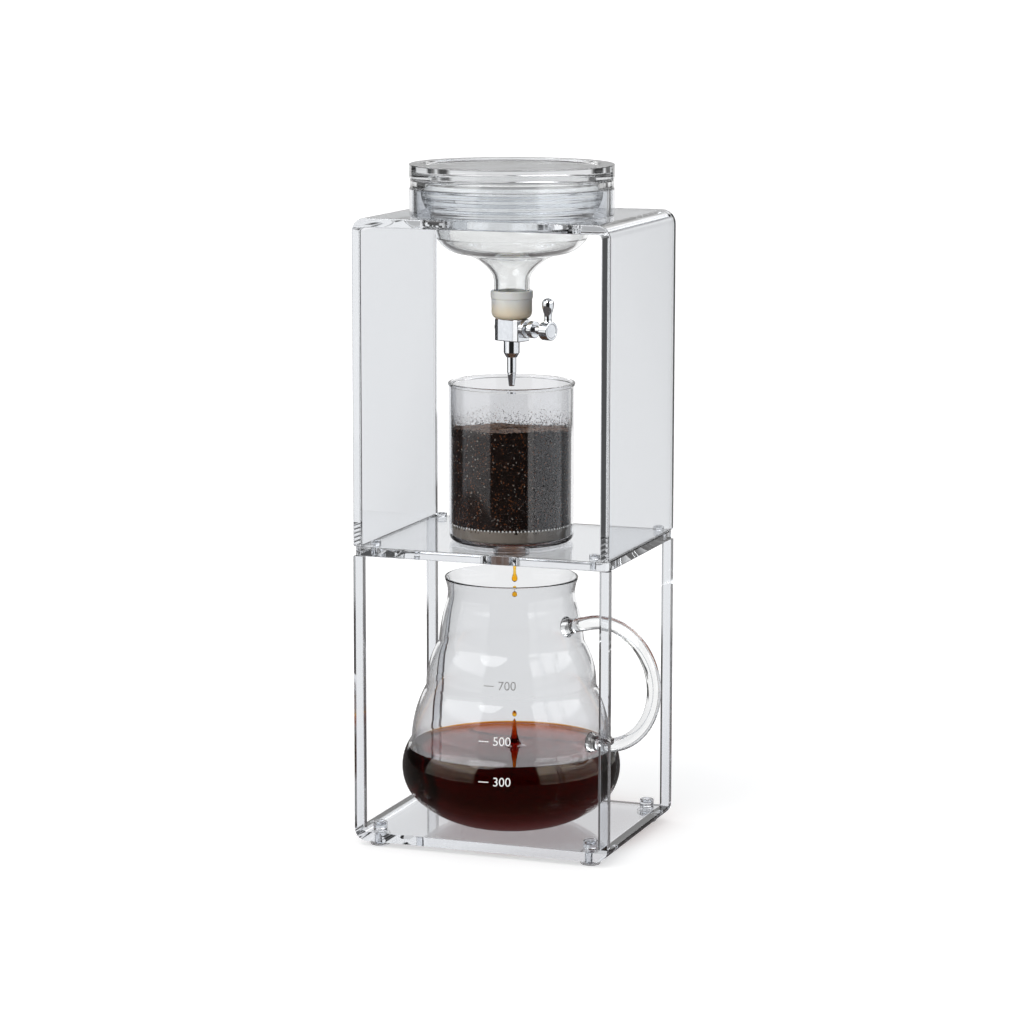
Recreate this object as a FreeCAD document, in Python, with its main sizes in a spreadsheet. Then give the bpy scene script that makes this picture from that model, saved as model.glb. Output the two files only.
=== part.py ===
import FreeCAD, Part
import os
import re

import Sketcher
from FreeCAD import Placement, Rotation, Vector

# Cold drip coffee tower, in millimetres. The origin is the centre of the frame's
# footprint on the surface it stands on: +X right, +Y back, +Z up.

DIMENSIONS = {
    # acrylic frame
    "frameWidth": 170.0,
    "frameDepth": 133.0,
    "sheet": 6.0,
    "baseLevel": 3.5,
    "shelfLevel": 188.0,
    "frameTop": 401.5,
    "upperBend": 9.0,
    "lowerBend": 8.0,
    "shelfCorner": 6.0,
    "postDepth": 6.0,
    "windowSill": 1.0,
    "edgeBreak": 0.4,
    "bowlHoleRadius": 52.0,
    "spoutHoleRadius": 13.0,
    # feet and screws
    "footRadius": 6.4,
    "footEdge": 0.8,
    "screwHeadRadius": 4.5,
    "screwHeadHeight": 5.7,
    "screwShankRadius": 2.5,
    "screwGap": 0.1,
    "socketRadius": 2.3,
    "socketDepth": 2.5,
    "footFromSide": 14.0,
    "footFromEdge": 9.0,
    "studHeadRadius": 3.4,
    "studHeadHeight": 3.2,
    "studShankRadius": 2.0,
    "studSlotDepth": 1.2,
    "studSlotRadius": 1.5,
    "studFromSide": 12.0,
    "studFromEdge": 8.5,
    # parts that touch are a film apart, and vessels stand a little clear
    "film": 0.05,
    "standGap": 0.15,
    # vessels stand on one vertical line
    "axisY": -7.8,
    "glassWall": 2.2,
    "bowlWall": 2.6,
    # ring, bowl and lid
    "ringOuter": 64.5,
    "ringInner": 60.0,
    "ringHeight": 17.3,
    "flangeRadius": 64.0,
    "flangeHeight": 5.5,
    "flangeEdge": 0.8,
    "lidRadius": 64.6,
    "lidHeight": 9.0,
    "lidEdge": 1.2,
    "lidRecessRadius": 57.5,
    "lidRecess": 1.2,
    "lidPlugRadius": 53.0,
    "lidPlugDepth": 3.5,
    "neckRadius": 11.4,
    "neckEnd": 340.0,
    # soft joint between the bowl's neck and the tap
    "jointRadius": 13.4,
    "jointBottom": 335.8,
    "jointTop": 353.8,
    "jointCorner": 4.2,
    "jointFloor": 3.0,
    "jointLip": 0.8,
    # tap
    "tapLevel": 330.0,
    "tapTurn": -20.0,
    "tapBottom": 323.3,
    "tapTop": 335.7,
    "tapTail": 9.5,
    "tapNose": 8.0,
    "tapHalfWidth": 6.5,
    "tapCorner": 3.0,
    "tapEdge": 0.6,
    "plugRadius": 3.6,
    "runningGap": 0.05,
    "waterway": 1.4,
    "spigotRadius": 3.6,
    "spigotBead": 4.4,
    "spigotTop": 346.0,
    "nutRadius": 5.8,
    "nutStart": 8.0,
    "nutEnd": 13.2,
    "stemRadius": 2.8,
    "collarRadius": 5.4,
    "collarStart": 15.6,
    "collarEnd": 19.6,
    "hubRadius": 6.0,
    "hubStart": 25.2,
    "hubEnd": 32.8,
    "capRadius": 4.4,
    "capDepth": 0.8,
    "capInset": 0.3,
    "tailRadius": 3.2,
    "tailHead": 1.8,
    "tailNeck": 1.5,
    "washerRadius": 4.2,
    "washerHeight": 0.8,
    "leverAlong": 29.6,
    "leverTip": 20.9,
    "bulbRadius": 3.9,
    "bulbHeight": 16.4,
    "leverWaist": 2.5,
    "leverFoot": 3.0,
    # nozzle below the tap
    "nozzleCollarRadius": 5.2,
    "nozzleCollarBottom": 311.3,
    "nozzleCollarWaist": 3.6,
    "nozzleCollarCone": 2.8,
    "nozzleRadius": 3.0,
    "nozzleBottom": 301.1,
    "nozzleSpigot": 2.2,
    "nozzleSpigotLength": 5.0,
    "tipRadius": 2.7,
    "tipWaist": 1.9,
    "tipEnd": 292.8,
    "tipHoleRadius": 0.8,
    # filter glass, its filter and the coffee in it
    "filterRadius": 39.6,
    "filterRim": 295.6,
    "filterBase": 3.0,
    "filterCorner": 5.0,
    "rimBead": 0.8,
    "spoutRadius": 11.5,
    "spoutBottom": 179.5,
    "spoutEntry": 9.0,
    "fitGap": 0.25,
    "ringBandHeight": 5.0,
    "ringBandWall": 2.0,
    "screenHeight": 0.8,
    "screenHoleRadius": 0.9,
    "screenRowStep": 8.0,
    "groundsTop": 268.2,
    # carafe
    "coffeeLevel": 60.0,
    "handleTurn": -17.0,
    "handleRadius": 4.5,
    "handleArc": 40.5,
    "handleOut": 73.2,
    "handleMiddle": 110.0,
    "handleRise": 15.5,
    "bossRadius": 7.0,
    "bossLength": 5.0,
    "upperBoss": 49.0,
    "lowerBoss": 64.2,
}

# Outlines of the two blown vessels as (radius, height) points. Every second point ends one
# arc and starts the next, and each arc passes through the point between its ends. The
# carafe's heights are above its base, and the bowl's are from its flange's underside.
CARAFE_OUTLINE = [
    (42.7, 160.0),
    (40.7, 151.1),
    (42.2, 142.7),
    (45.3, 129.0),
    (47.3, 116.0),
    (52.6, 103.3),
    (54.2, 89.7),
    (60.7, 74.5),
    (64.1, 55.5),
    (70.2, 36.9),
    (65.2, 19.0),
    (50.9, 4.9),
    (30.0, 0.0),
]
BOWL_OUTLINE = [
    (57.5, 0.0),
    (55.7, -10.5),
    (51.2, -17.0),
    (49.8, -24.0),
    (47.6, -32.0),
    (41.6, -38.4),
    (31.9, -41.8),
    (18.0, -48.2),
    (11.4, -61.5),
]

doc = FreeCAD.newDocument("coffee_tower")
sheet = doc.addObject("Spreadsheet::Sheet", "Sizes")
for row, (alias, number) in enumerate(DIMENSIONS.items(), start=1):
    sheet.set(f"A{row}", alias)
    sheet.set(f"B{row}", str(number))
    sheet.setAlias(f"B{row}", alias)
doc.recompute()

nodes = {}
V_AXIS, H_AXIS, ORIGIN = -2, -1, -1


def bound(formula):
    """The formula with each alias turned into a reference to the sheet."""
    return re.sub(r"\b([a-z][A-Za-z]+)\b", r"Sizes.\1", formula)


def value(formula):
    return float(sheet.evalExpression(formula))


def body(label):
    made = doc.addObject("PartDesign::Body", label)
    made.Label = label
    return made


def sketch(owner, role, name):
    made = owner.newObject("Sketcher::SketchObject", name)
    plane = next(o for o in owner.Origin.OriginFeatures if o.Role == role)
    made.AttachmentSupport = [(plane, "")]
    made.MapMode = "FlatFace"
    return made


def pin(drawing, geometry, vertex, across, along):
    """Hold a vertex at a place given by two formulas, measured from the origin."""
    for kind, formula, axis in (("DistanceX", across, V_AXIS), ("DistanceY", along, H_AXIS)):
        amount = value(formula)
        if formula == "0":
            drawing.addConstraint(Sketcher.Constraint("PointOnObject", geometry, vertex, axis))
            continue
        limit = Sketcher.Constraint(kind, ORIGIN, 1, geometry, vertex, amount)
        index = drawing.addConstraint(limit)
        drawing.setExpression(f"Constraints[{index}]", bound(formula))


def outline(drawing, points):
    """A closed outline of straight edges through points given by two formulas each."""
    spots = [Vector(value(across), value(along), 0) for across, along in points]
    first = drawing.GeometryCount
    count = len(spots)
    for index in range(count):
        line = Part.LineSegment(spots[index], spots[(index + 1) % count])
        drawing.addGeometry(line, False)
    for index in range(count):
        following = first + (index + 1) % count
        drawing.addConstraint(Sketcher.Constraint("Coincident", first + index, 2, following, 1))
    for index, (across, along) in enumerate(points):
        pin(drawing, first + index, 1, across, along)


def circle(drawing, across, along, radius):
    centre = Vector(value(across), value(along), 0)
    index = drawing.addGeometry(Part.Circle(centre, Vector(0, 0, 1), value(radius)), False)
    pin(drawing, index, 3, across, along)
    size = drawing.addConstraint(Sketcher.Constraint("Radius", index, value(radius)))
    drawing.setExpression(f"Constraints[{size}]", bound(radius))


def solid_pad(owner, drawing, length, middle=False, reverse=False):
    made = owner.newObject("PartDesign::Pad", f"{owner.Name}_pad")
    made.Profile = drawing
    made.setExpression("Length", bound(length))
    made.Midplane = middle
    made.Reversed = reverse
    drawing.Visibility = False
    doc.recompute()
    return made


def cut(owner, drawing, length="", reverse=False, middle=False):
    """Pocket a sketch out of its body, and check that it removed something."""
    before = owner.Shape.Volume
    made = owner.newObject("PartDesign::Pocket", f"{owner.Name}_pocket")
    made.Profile = drawing
    if length:
        made.setExpression("Length", bound(length))
    else:
        made.Type = "ThroughAll"
    made.Reversed = reverse
    made.Midplane = middle
    doc.recompute()
    if not owner.Shape.Volume < before - 0.01:
        raise RuntimeError(f"{made.Name} removed nothing")
    return made


def turned(label, points):
    """A body turned about its own Z axis from a closed (radius, height) outline."""
    made = body(label)
    drawing = sketch(made, "XZ_Plane", f"{label}_outline")
    outline(drawing, points)
    spin = made.newObject("PartDesign::Revolution", f"{label}_turning")
    spin.Profile = drawing
    spin.ReferenceAxis = (drawing, ["V_Axis"])
    spin.Angle = 360
    doc.recompute()
    return made


def placed(made, spot, turn=None):
    """Bind a body's place to three formulas, with an optional fixed turn."""
    made.Placement = Placement(Vector(0, 0, 0), turn or Rotation())
    for axis, formula in zip("xyz", spot):
        made.setExpression(f".Placement.Base.{axis}", bound(formula))
    return made


def dressed(owner, kind, edges, size):
    """A fillet or chamfer on the edges for which a test holds."""
    base = owner.Tip
    picked = [f"Edge{i}" for i, e in enumerate(base.Shape.Edges, start=1) if edges(e)]
    if not picked:
        raise RuntimeError(f"no edge to dress on {owner.Name}")
    made = owner.newObject(f"PartDesign::{kind}", f"{owner.Name}_{kind.lower()}")
    made.Base = (base, picked)
    key = "Radius" if kind == "Fillet" else "Size"
    made.setExpression(key, bound(size))
    doc.recompute()
    return made


def fixed(label, shape):
    """A sub-part whose shape comes from Part's own functions, at its final place."""
    made = doc.addObject("Part::Feature", label)
    made.Label = label
    made.Shape = shape
    return made


def keep(made):
    nodes[made.Label] = made
    return made


def corners(from_side, from_edge):
    """The four places at a distance from the frame's sides and from its open edges."""
    across = value("frameWidth / 2") - value(from_side)
    along = value("frameDepth / 2") - value(from_edge)
    return [(x, y) for x in (-across, across) for y in (-along, along)]


def at_corners(label, pattern, places, height=0.0):
    copies = [pattern.Shape.translated(Vector(x, y, height)) for x, y in places]
    return keep(fixed(label, Part.makeCompound(copies)))


def runs_along(edge, axis):
    """True for a straight edge parallel to an axis given as 0, 1 or 2."""
    box = edge.BoundBox
    spans = [box.XLength, box.YLength, box.ZLength]
    return spans[axis] > 0.5 and sum(spans) - spans[axis] < 1e-6


def lies_in_plane(edge, axis, level):
    low = [edge.BoundBox.XMin, edge.BoundBox.YMin, edge.BoundBox.ZMin][axis]
    high = [edge.BoundBox.XMax, edge.BoundBox.YMax, edge.BoundBox.ZMax][axis]
    return abs(low - level) < 1e-6 and abs(high - level) < 1e-6


# ---- frame: two bent sheets and the shelf between them


def break_open_edges(owner):
    half = value("frameDepth / 2")
    dressed(
        owner,
        "Chamfer",
        lambda edge: lies_in_plane(edge, 1, half) or lies_in_plane(edge, 1, -half),
        "edgeBreak",
    )


def upper_frame():
    made = body("upper_frame")
    drawing = sketch(made, "XZ_Plane", "upper_frame_outline")
    outline(
        drawing,
        [
            ("-frameWidth / 2", "shelfLevel + sheet + film"),
            ("-frameWidth / 2", "frameTop"),
            ("frameWidth / 2", "frameTop"),
            ("frameWidth / 2", "shelfLevel + sheet + film"),
            ("frameWidth / 2 - sheet", "shelfLevel + sheet + film"),
            ("frameWidth / 2 - sheet", "frameTop - sheet"),
            ("-frameWidth / 2 + sheet", "frameTop - sheet"),
            ("-frameWidth / 2 + sheet", "shelfLevel + sheet + film"),
        ],
    )
    solid_pad(made, drawing, "frameDepth", middle=True)
    top, under = value("frameTop"), value("frameTop - sheet")
    side = value("frameWidth / 2")
    bends = lambda level, reach: lambda edge: (
        runs_along(edge, 1)
        and abs(edge.BoundBox.ZMin - level) < 1e-6
        and abs(abs(edge.BoundBox.XMin) - reach) < 1e-6
    )
    dressed(made, "Fillet", bends(top, side), "upperBend")
    dressed(made, "Fillet", bends(under, side - value("sheet")), "upperBend - sheet")
    hole = sketch(made, "XY_Plane", "bowl_hole")
    circle(hole, "0", "axisY", "bowlHoleRadius")
    cut(made, hole, reverse=True)
    break_open_edges(made)
    return keep(made)


def shelf():
    made = body("shelf")
    drawing = sketch(made, "XY_Plane", "shelf_outline")
    outline(
        drawing,
        [
            ("-frameWidth / 2", "-frameDepth / 2"),
            ("frameWidth / 2", "-frameDepth / 2"),
            ("frameWidth / 2", "frameDepth / 2"),
            ("-frameWidth / 2", "frameDepth / 2"),
        ],
    )
    solid_pad(made, drawing, "sheet")
    dressed(made, "Fillet", lambda edge: runs_along(edge, 2), "shelfCorner")
    holes = sketch(made, "XY_Plane", "shelf_holes")
    circle(holes, "0", "axisY", "spoutHoleRadius")
    for x in ("-(frameWidth / 2 - studFromSide)", "frameWidth / 2 - studFromSide"):
        for y in ("-(frameDepth / 2 - studFromEdge)", "frameDepth / 2 - studFromEdge"):
            circle(holes, x, y, "studShankRadius + screwGap")
    cut(made, holes, reverse=True)
    rim = value("frameDepth / 2 - 1")
    dressed(
        made,
        "Chamfer",
        lambda edge: not runs_along(edge, 2)
        and (abs(edge.CenterOfMass.y) > rim or abs(edge.CenterOfMass.x) > rim),
        "edgeBreak",
    )
    placed(made, ("0", "0", "shelfLevel"))
    return keep(made)


def lower_frame():
    made = body("lower_frame")
    drawing = sketch(made, "XZ_Plane", "lower_frame_outline")
    outline(
        drawing,
        [
            ("-frameWidth / 2", "baseLevel"),
            ("frameWidth / 2", "baseLevel"),
            ("frameWidth / 2", "shelfLevel - film"),
            ("frameWidth / 2 - sheet", "shelfLevel - film"),
            ("frameWidth / 2 - sheet", "baseLevel + sheet"),
            ("-frameWidth / 2 + sheet", "baseLevel + sheet"),
            ("-frameWidth / 2 + sheet", "shelfLevel - film"),
            ("-frameWidth / 2", "shelfLevel - film"),
        ],
    )
    solid_pad(made, drawing, "frameDepth", middle=True)
    low, floor = value("baseLevel"), value("baseLevel + sheet")
    side = value("frameWidth / 2")
    bends = lambda level, reach: lambda edge: (
        runs_along(edge, 1)
        and abs(edge.BoundBox.ZMin - level) < 1e-6
        and abs(abs(edge.BoundBox.XMin) - reach) < 1e-6
    )
    dressed(made, "Fillet", bends(low, side), "lowerBend")
    dressed(made, "Fillet", bends(floor, side - value("sheet")), "lowerBend - sheet")
    window = sketch(made, "YZ_Plane", "side_windows")
    outline(
        window,
        [
            ("-(frameDepth / 2 - postDepth)", "baseLevel + sheet + windowSill"),
            ("frameDepth / 2 - postDepth", "baseLevel + sheet + windowSill"),
            ("frameDepth / 2 - postDepth", "shelfLevel + sheet"),
            ("-(frameDepth / 2 - postDepth)", "shelfLevel + sheet"),
        ],
    )
    cut(made, window, "frameWidth + sheet", middle=True)
    holes = sketch(made, "XY_Plane", "foot_holes")
    for x in ("-(frameWidth / 2 - footFromSide)", "frameWidth / 2 - footFromSide"):
        for y in ("-(frameDepth / 2 - footFromEdge)", "frameDepth / 2 - footFromEdge"):
            circle(holes, x, y, "screwShankRadius + screwGap")
    cut(made, holes, reverse=True)
    break_open_edges(made)
    return keep(made)


def base_screws():
    pattern = turned(
        "base_screw",
        [
            ("0", "footEdge"),
            ("screwShankRadius", "footEdge"),
            ("screwShankRadius", "baseLevel + sheet + film"),
            ("screwHeadRadius", "baseLevel + sheet + film"),
            ("screwHeadRadius", "baseLevel + sheet + screwHeadHeight - edgeBreak"),
            ("screwHeadRadius - edgeBreak", "baseLevel + sheet + screwHeadHeight"),
            ("socketRadius", "baseLevel + sheet + screwHeadHeight"),
            ("socketRadius", "baseLevel + sheet + screwHeadHeight - socketDepth"),
            ("0", "baseLevel + sheet + screwHeadHeight - socketDepth"),
        ],
    )
    at_corners("base_screws", pattern, corners("footFromSide", "footFromEdge"))


def feet():
    pattern = turned(
        "foot",
        [
            ("0", "0"),
            ("footRadius - footEdge", "0"),
            ("footRadius", "footEdge"),
            ("footRadius", "baseLevel - film"),
            ("screwShankRadius", "baseLevel - film"),
            ("screwShankRadius", "footEdge"),
            ("0", "footEdge"),
        ],
    )
    at_corners("feet", pattern, corners("footFromSide", "footFromEdge"))


def shelf_studs():
    pattern = turned(
        "shelf_stud",
        [
            ("0", "shelfLevel + edgeBreak"),
            ("studShankRadius", "shelfLevel + edgeBreak"),
            ("studShankRadius", "shelfLevel + sheet + film"),
            ("studHeadRadius", "shelfLevel + sheet + film"),
            ("studHeadRadius", "shelfLevel + sheet + studHeadHeight - edgeBreak"),
            ("studHeadRadius - edgeBreak", "shelfLevel + sheet + studHeadHeight"),
            ("studSlotRadius", "shelfLevel + sheet + studHeadHeight"),
            ("studSlotRadius", "shelfLevel + sheet + studHeadHeight - studSlotDepth"),
            ("0", "shelfLevel + sheet + studHeadHeight - studSlotDepth"),
        ],
    )
    at_corners("shelf_studs", pattern, corners("studFromSide", "studFromEdge"))


# ---- ring, bowl and lid


def on_axis(made):
    return keep(placed(made, ("0", "axisY", "0")))


def bowl_ring():
    points = [
        ("ringInner", "frameTop + film"),
        ("ringOuter", "frameTop + film"),
        ("ringOuter", "frameTop + ringHeight - edgeBreak"),
        ("ringOuter - edgeBreak", "frameTop + ringHeight"),
        ("ringInner + edgeBreak", "frameTop + ringHeight"),
        ("ringInner", "frameTop + ringHeight - edgeBreak"),
    ]
    on_axis(turned("bowl_ring", points))


def line(start, end):
    ends = [Vector(radius, 0, height) for radius, height in (start, end)]
    return Part.LineSegment(*ends).toShape()


def polyline(spots):
    return [line(start, end) for start, end in zip(spots, spots[1:])]


def raised(points, level):
    return [(radius, height + level) for radius, height in points]


def blown(points):
    """The arcs of a blown wall's outer face, as one open wire."""
    spots = [Vector(radius, 0, height) for radius, height in points]
    arcs = [Part.Arc(*spots[i : i + 3]).toShape() for i in range(0, len(spots) - 2, 2)]
    return Part.Wire(arcs)


def inset(outer, wall):
    """The inner face of a blown wall, and its lowest and highest ends."""
    inner = outer.makeOffset2D(-wall, 0, False, True)
    if inner.OrderedVertexes[0].X > outer.BoundBox.XMax:
        raise RuntimeError("the wall was offset outwards")
    spots = sorted((spot.Z, spot.X) for spot in inner.OrderedVertexes)
    return inner, (spots[0][1], spots[0][0]), (spots[-1][1], spots[-1][0])


def spun(edges):
    """A solid turned about the vessels' common axis from a closed run of edges."""
    face = Part.Face(Part.Wire(Part.__sortEdges__(edges)))
    solid = Part.Solid(face.revolve(Vector(0, 0, 0), Vector(0, 0, 1), 360).Shells[0])
    solid.translate(Vector(0, value("axisY"), 0))
    return solid


def glass_bowl():
    under = value("frameTop + ringHeight + film")
    points = raised(BOWL_OUTLINE, under)
    outer = blown(points)
    inner, inner_low, inner_high = inset(outer, value("bowlWall"))
    top, edge = under + value("flangeHeight"), value("flangeEdge")
    rim, neck = value("flangeRadius"), value("neckRadius")
    flange = [
        points[0],
        (rim, under),
        (rim, top - edge),
        (rim - edge, top),
        (inner_high[0] + edge, top),
        (inner_high[0], top - edge),
        inner_high,
    ]
    end = value("neckEnd")
    throat = [points[-1], (neck, end), (inner_low[0], end), inner_low]
    loop = outer.Edges + inner.Edges + polyline(flange) + polyline(throat)
    return keep(fixed("glass_bowl", spun(loop)))


def bowl_lid():
    under = "frameTop + ringHeight + flangeHeight + standGap"
    points = [
        ("0", f"{under} - lidPlugDepth"),
        ("lidPlugRadius - edgeBreak", f"{under} - lidPlugDepth"),
        ("lidPlugRadius", f"{under} - lidPlugDepth + edgeBreak"),
        ("lidPlugRadius", under),
        ("lidRadius", under),
        ("lidRadius", f"{under} + lidHeight - lidEdge"),
        ("lidRadius - lidEdge", f"{under} + lidHeight"),
        ("lidRecessRadius", f"{under} + lidHeight"),
        ("lidRecessRadius - lidRecess", f"{under} + lidHeight - lidRecess"),
        ("0", f"{under} + lidHeight - lidRecess"),
    ]
    on_axis(turned("bowl_lid", points))


def neck_joint():
    made = turned(
        "neck_joint",
        [
            ("spigotRadius", "jointBottom"),
            ("jointRadius", "jointBottom"),
            ("jointRadius", "jointTop - jointLip"),
            ("jointRadius - jointLip", "jointTop"),
            ("neckRadius", "jointTop"),
            ("neckRadius", "neckEnd"),
            ("spigotBead", "neckEnd"),
            ("spigotRadius", "neckEnd - jointFloor / 2"),
        ],
    )
    low = value("jointBottom")
    rim = value("jointRadius")
    dressed(
        made,
        "Fillet",
        lambda edge: lies_in_plane(edge, 2, low) and edge.BoundBox.XMax > rim - 0.1,
        "jointCorner",
    )
    on_axis(made)


# ---- tap: its own axis is level and turned towards the front, so its parts are turned
# about Z and laid over, with heights counted from the tower's axis line

TAP_TURN = Rotation(Vector(0, 0, 1), value("tapTurn"))
TAP_LIE = TAP_TURN.multiply(Rotation(Vector(0, 1, 0), 90))


def along_tap(made):
    return keep(placed(made, ("0", "axisY", "tapLevel"), TAP_LIE))


def tap_body():
    made = body("tap_body")
    drawing = sketch(made, "XY_Plane", "tap_body_outline")
    outline(
        drawing,
        [
            ("-tapTail", "-tapHalfWidth"),
            ("tapNose", "-tapHalfWidth"),
            ("tapNose", "tapHalfWidth"),
            ("-tapTail", "tapHalfWidth"),
        ],
    )
    solid_pad(made, drawing, "tapTop - tapBottom")
    dressed(made, "Fillet", lambda edge: runs_along(edge, 2), "tapCorner")
    flat = value("tapTop - tapBottom")
    dressed(
        made,
        "Chamfer",
        lambda edge: lies_in_plane(edge, 2, 0) or lies_in_plane(edge, 2, flat),
        "tapEdge",
    )
    waterway = sketch(made, "XY_Plane", "tap_waterway")
    circle(waterway, "0", "0", "waterway")
    cut(made, waterway, reverse=True)
    bore = sketch(made, "YZ_Plane", "plug_bore")
    circle(bore, "0", "tapLevel - tapBottom", "plugRadius + runningGap")
    cut(made, bore, "2 * tapTail + 2 * tapNose", middle=True)
    placed(made, ("0", "axisY", "tapBottom"), TAP_TURN)
    return keep(made)


def inlet_spigot():
    points = [
        ("waterway", "tapTop"),
        ("spigotRadius", "tapTop"),
        ("spigotRadius", "neckEnd"),
        ("spigotBead", "neckEnd + tapEdge"),
        ("spigotBead", "neckEnd + 2 * tapEdge"),
        ("spigotRadius - tapEdge", "spigotTop"),
        ("waterway", "spigotTop"),
    ]
    on_axis(turned("inlet_spigot", points))


def tap_plug():
    """The plug turns in the body's cross bore and is drilled across for the waterway."""
    made = turned(
        "tap_plug",
        [
            ("0", "-tapTail - washerHeight"),
            ("tailNeck", "-tapTail - washerHeight"),
            ("tailNeck", "-tapTail + washerHeight"),
            ("plugRadius", "-tapTail + washerHeight"),
            ("plugRadius", "tapNose - washerHeight"),
            ("stemRadius", "tapNose - washerHeight"),
            ("stemRadius", "hubStart"),
            ("0", "hubStart"),
        ],
    )
    port = sketch(made, "YZ_Plane", "plug_port")
    circle(port, "0", "0", "waterway")
    cut(made, port, "4 * plugRadius", middle=True)
    along_tap(made)


def stem_ring(label, outer, start, end, gap, edge):
    """A plain round ring about the stem, with both outer corners broken."""
    points = [
        (f"stemRadius + {gap}", start),
        (f"{outer} - {edge}", start),
        (outer, f"{start} + {edge}"),
        (outer, f"{end} - {edge}"),
        (f"{outer} - {edge}", end),
        (f"stemRadius + {gap}", end),
    ]
    along_tap(turned(label, points))


def tap_handle():
    hub = [
        ("0", "hubStart"),
        ("stemRadius + tapEdge", "hubStart"),
        ("hubRadius", "hubStart + tapEdge * 2"),
        ("hubRadius", "hubEnd - tapEdge"),
        ("hubRadius - tapEdge", "hubEnd"),
        ("capRadius", "hubEnd"),
        ("capRadius", "hubEnd - capDepth"),
        ("0", "hubEnd - capDepth"),
    ]
    along_tap(turned("handle_hub", hub))
    cap = [
        ("0", "hubEnd - capDepth"),
        ("capRadius", "hubEnd - capDepth"),
        ("capRadius", "hubEnd - capInset"),
        ("0", "hubEnd - capInset"),
    ]
    along_tap(turned("hub_cap", cap))


def tap_lever():
    """A turned lever that stands up from the hub: a foot, a waist and a round bulb."""
    foot, waist = value("leverFoot"), value("leverWaist")
    bulb, centre = value("bulbRadius"), value("bulbHeight")
    start, tip = value("hubRadius - tapEdge"), value("leverTip")
    spots = [(foot, start), (waist, start + foot), (bulb, centre), (0, tip)]
    tangents = [Vector(-0.3, 0, 1), Vector(0, 0, 1), Vector(0, 0, 1), Vector(-1, 0, 0)]
    side = Part.BSplineCurve()
    side.interpolate(
        Points=[Vector(radius, 0, height) for radius, height in spots],
        Tangents=tangents,
        TangentFlags=[True] * len(spots),
    )
    edges = [side.toShape(), line((0, tip), (0, start)), line((0, start), (foot, start))]
    wire = Part.Wire(Part.__sortEdges__(edges))
    solid = Part.Face(wire).revolve(Vector(0, 0, 0), Vector(0, 0, 1), 360)
    made = keep(fixed("tap_lever", solid))
    along = TAP_TURN.multVec(Vector(value("leverAlong"), 0, 0))
    made.Placement = Placement(along + Vector(0, value("axisY"), value("tapLevel")), Rotation())


def tail_screw():
    points = [
        ("0", "-tapTail - washerHeight - tailHead"),
        ("tailRadius - tapEdge", "-tapTail - washerHeight - tailHead"),
        ("tailRadius", "-tapTail - washerHeight - tailHead + tapEdge"),
        ("tailRadius", "-tapTail - washerHeight"),
        ("0", "-tapTail - washerHeight"),
    ]
    along_tap(turned("tail_screw", points))
    washer = [
        ("tailNeck + runningGap", "-tapTail - washerHeight"),
        ("washerRadius", "-tapTail - washerHeight"),
        ("washerRadius", "-tapTail - runningGap"),
        ("tailNeck + runningGap", "-tapTail - runningGap"),
    ]
    along_tap(turned("tail_washer", washer))


def nozzle():
    collar = [
        ("waterway", "tapBottom"),
        ("nozzleCollarRadius", "tapBottom"),
        ("nozzleCollarRadius", "nozzleCollarBottom + nozzleCollarCone"),
        ("nozzleCollarWaist", "nozzleCollarBottom"),
        ("nozzleSpigot", "nozzleCollarBottom"),
        ("nozzleSpigot", "nozzleCollarBottom + nozzleSpigotLength"),
        ("waterway", "nozzleCollarBottom + nozzleSpigotLength"),
    ]
    on_axis(turned("nozzle_collar", collar))
    tube = [
        ("waterway", "nozzleCollarBottom + nozzleSpigotLength"),
        ("nozzleSpigot", "nozzleCollarBottom + nozzleSpigotLength"),
        ("nozzleSpigot", "nozzleCollarBottom"),
        ("nozzleRadius", "nozzleCollarBottom"),
        ("nozzleRadius", "nozzleBottom"),
        ("waterway", "nozzleBottom"),
    ]
    on_axis(turned("drip_nozzle", tube))
    tip = [
        ("tipHoleRadius", "nozzleBottom"),
        ("tipRadius", "nozzleBottom"),
        ("tipRadius", "nozzleBottom - tapEdge"),
        ("tipWaist", "tipEnd + tapEdge"),
        ("tipWaist - tapEdge / 2", "tipEnd"),
        ("tipHoleRadius", "tipEnd"),
    ]
    on_axis(turned("drip_tip", tip))


# ---- filter glass, with the filter and the ground coffee in it


def filter_glass():
    stand = "shelfLevel + sheet + standGap"
    made = turned(
        "filter_glass",
        [
            ("spoutEntry", "spoutBottom"),
            ("spoutRadius", "spoutBottom"),
            ("spoutRadius", stand),
            ("filterRadius", stand),
            ("filterRadius", "filterRim - 3 * rimBead"),
            ("filterRadius + rimBead", "filterRim - 2 * rimBead"),
            ("filterRadius + rimBead", "filterRim - rimBead"),
            ("filterRadius", "filterRim"),
            ("filterRadius - glassWall + rimBead / 2", "filterRim"),
            ("filterRadius - glassWall", "filterRim - rimBead"),
            ("filterRadius - glassWall", f"{stand} + filterBase"),
            ("spoutEntry", f"{stand} + filterBase"),
        ],
    )
    level, reach = value(stand), value("filterRadius")
    dressed(
        made,
        "Fillet",
        lambda edge: lies_in_plane(edge, 2, level) and edge.BoundBox.XMax > reach - 0.1,
        "filterCorner",
    )
    inner = value("filterRadius - glassWall")
    floor = value(f"{stand} + filterBase")
    dressed(
        made,
        "Fillet",
        lambda edge: lies_in_plane(edge, 2, floor) and edge.BoundBox.XMax > inner - 0.1,
        "filterCorner - glassWall",
    )
    on_axis(made)


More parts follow.
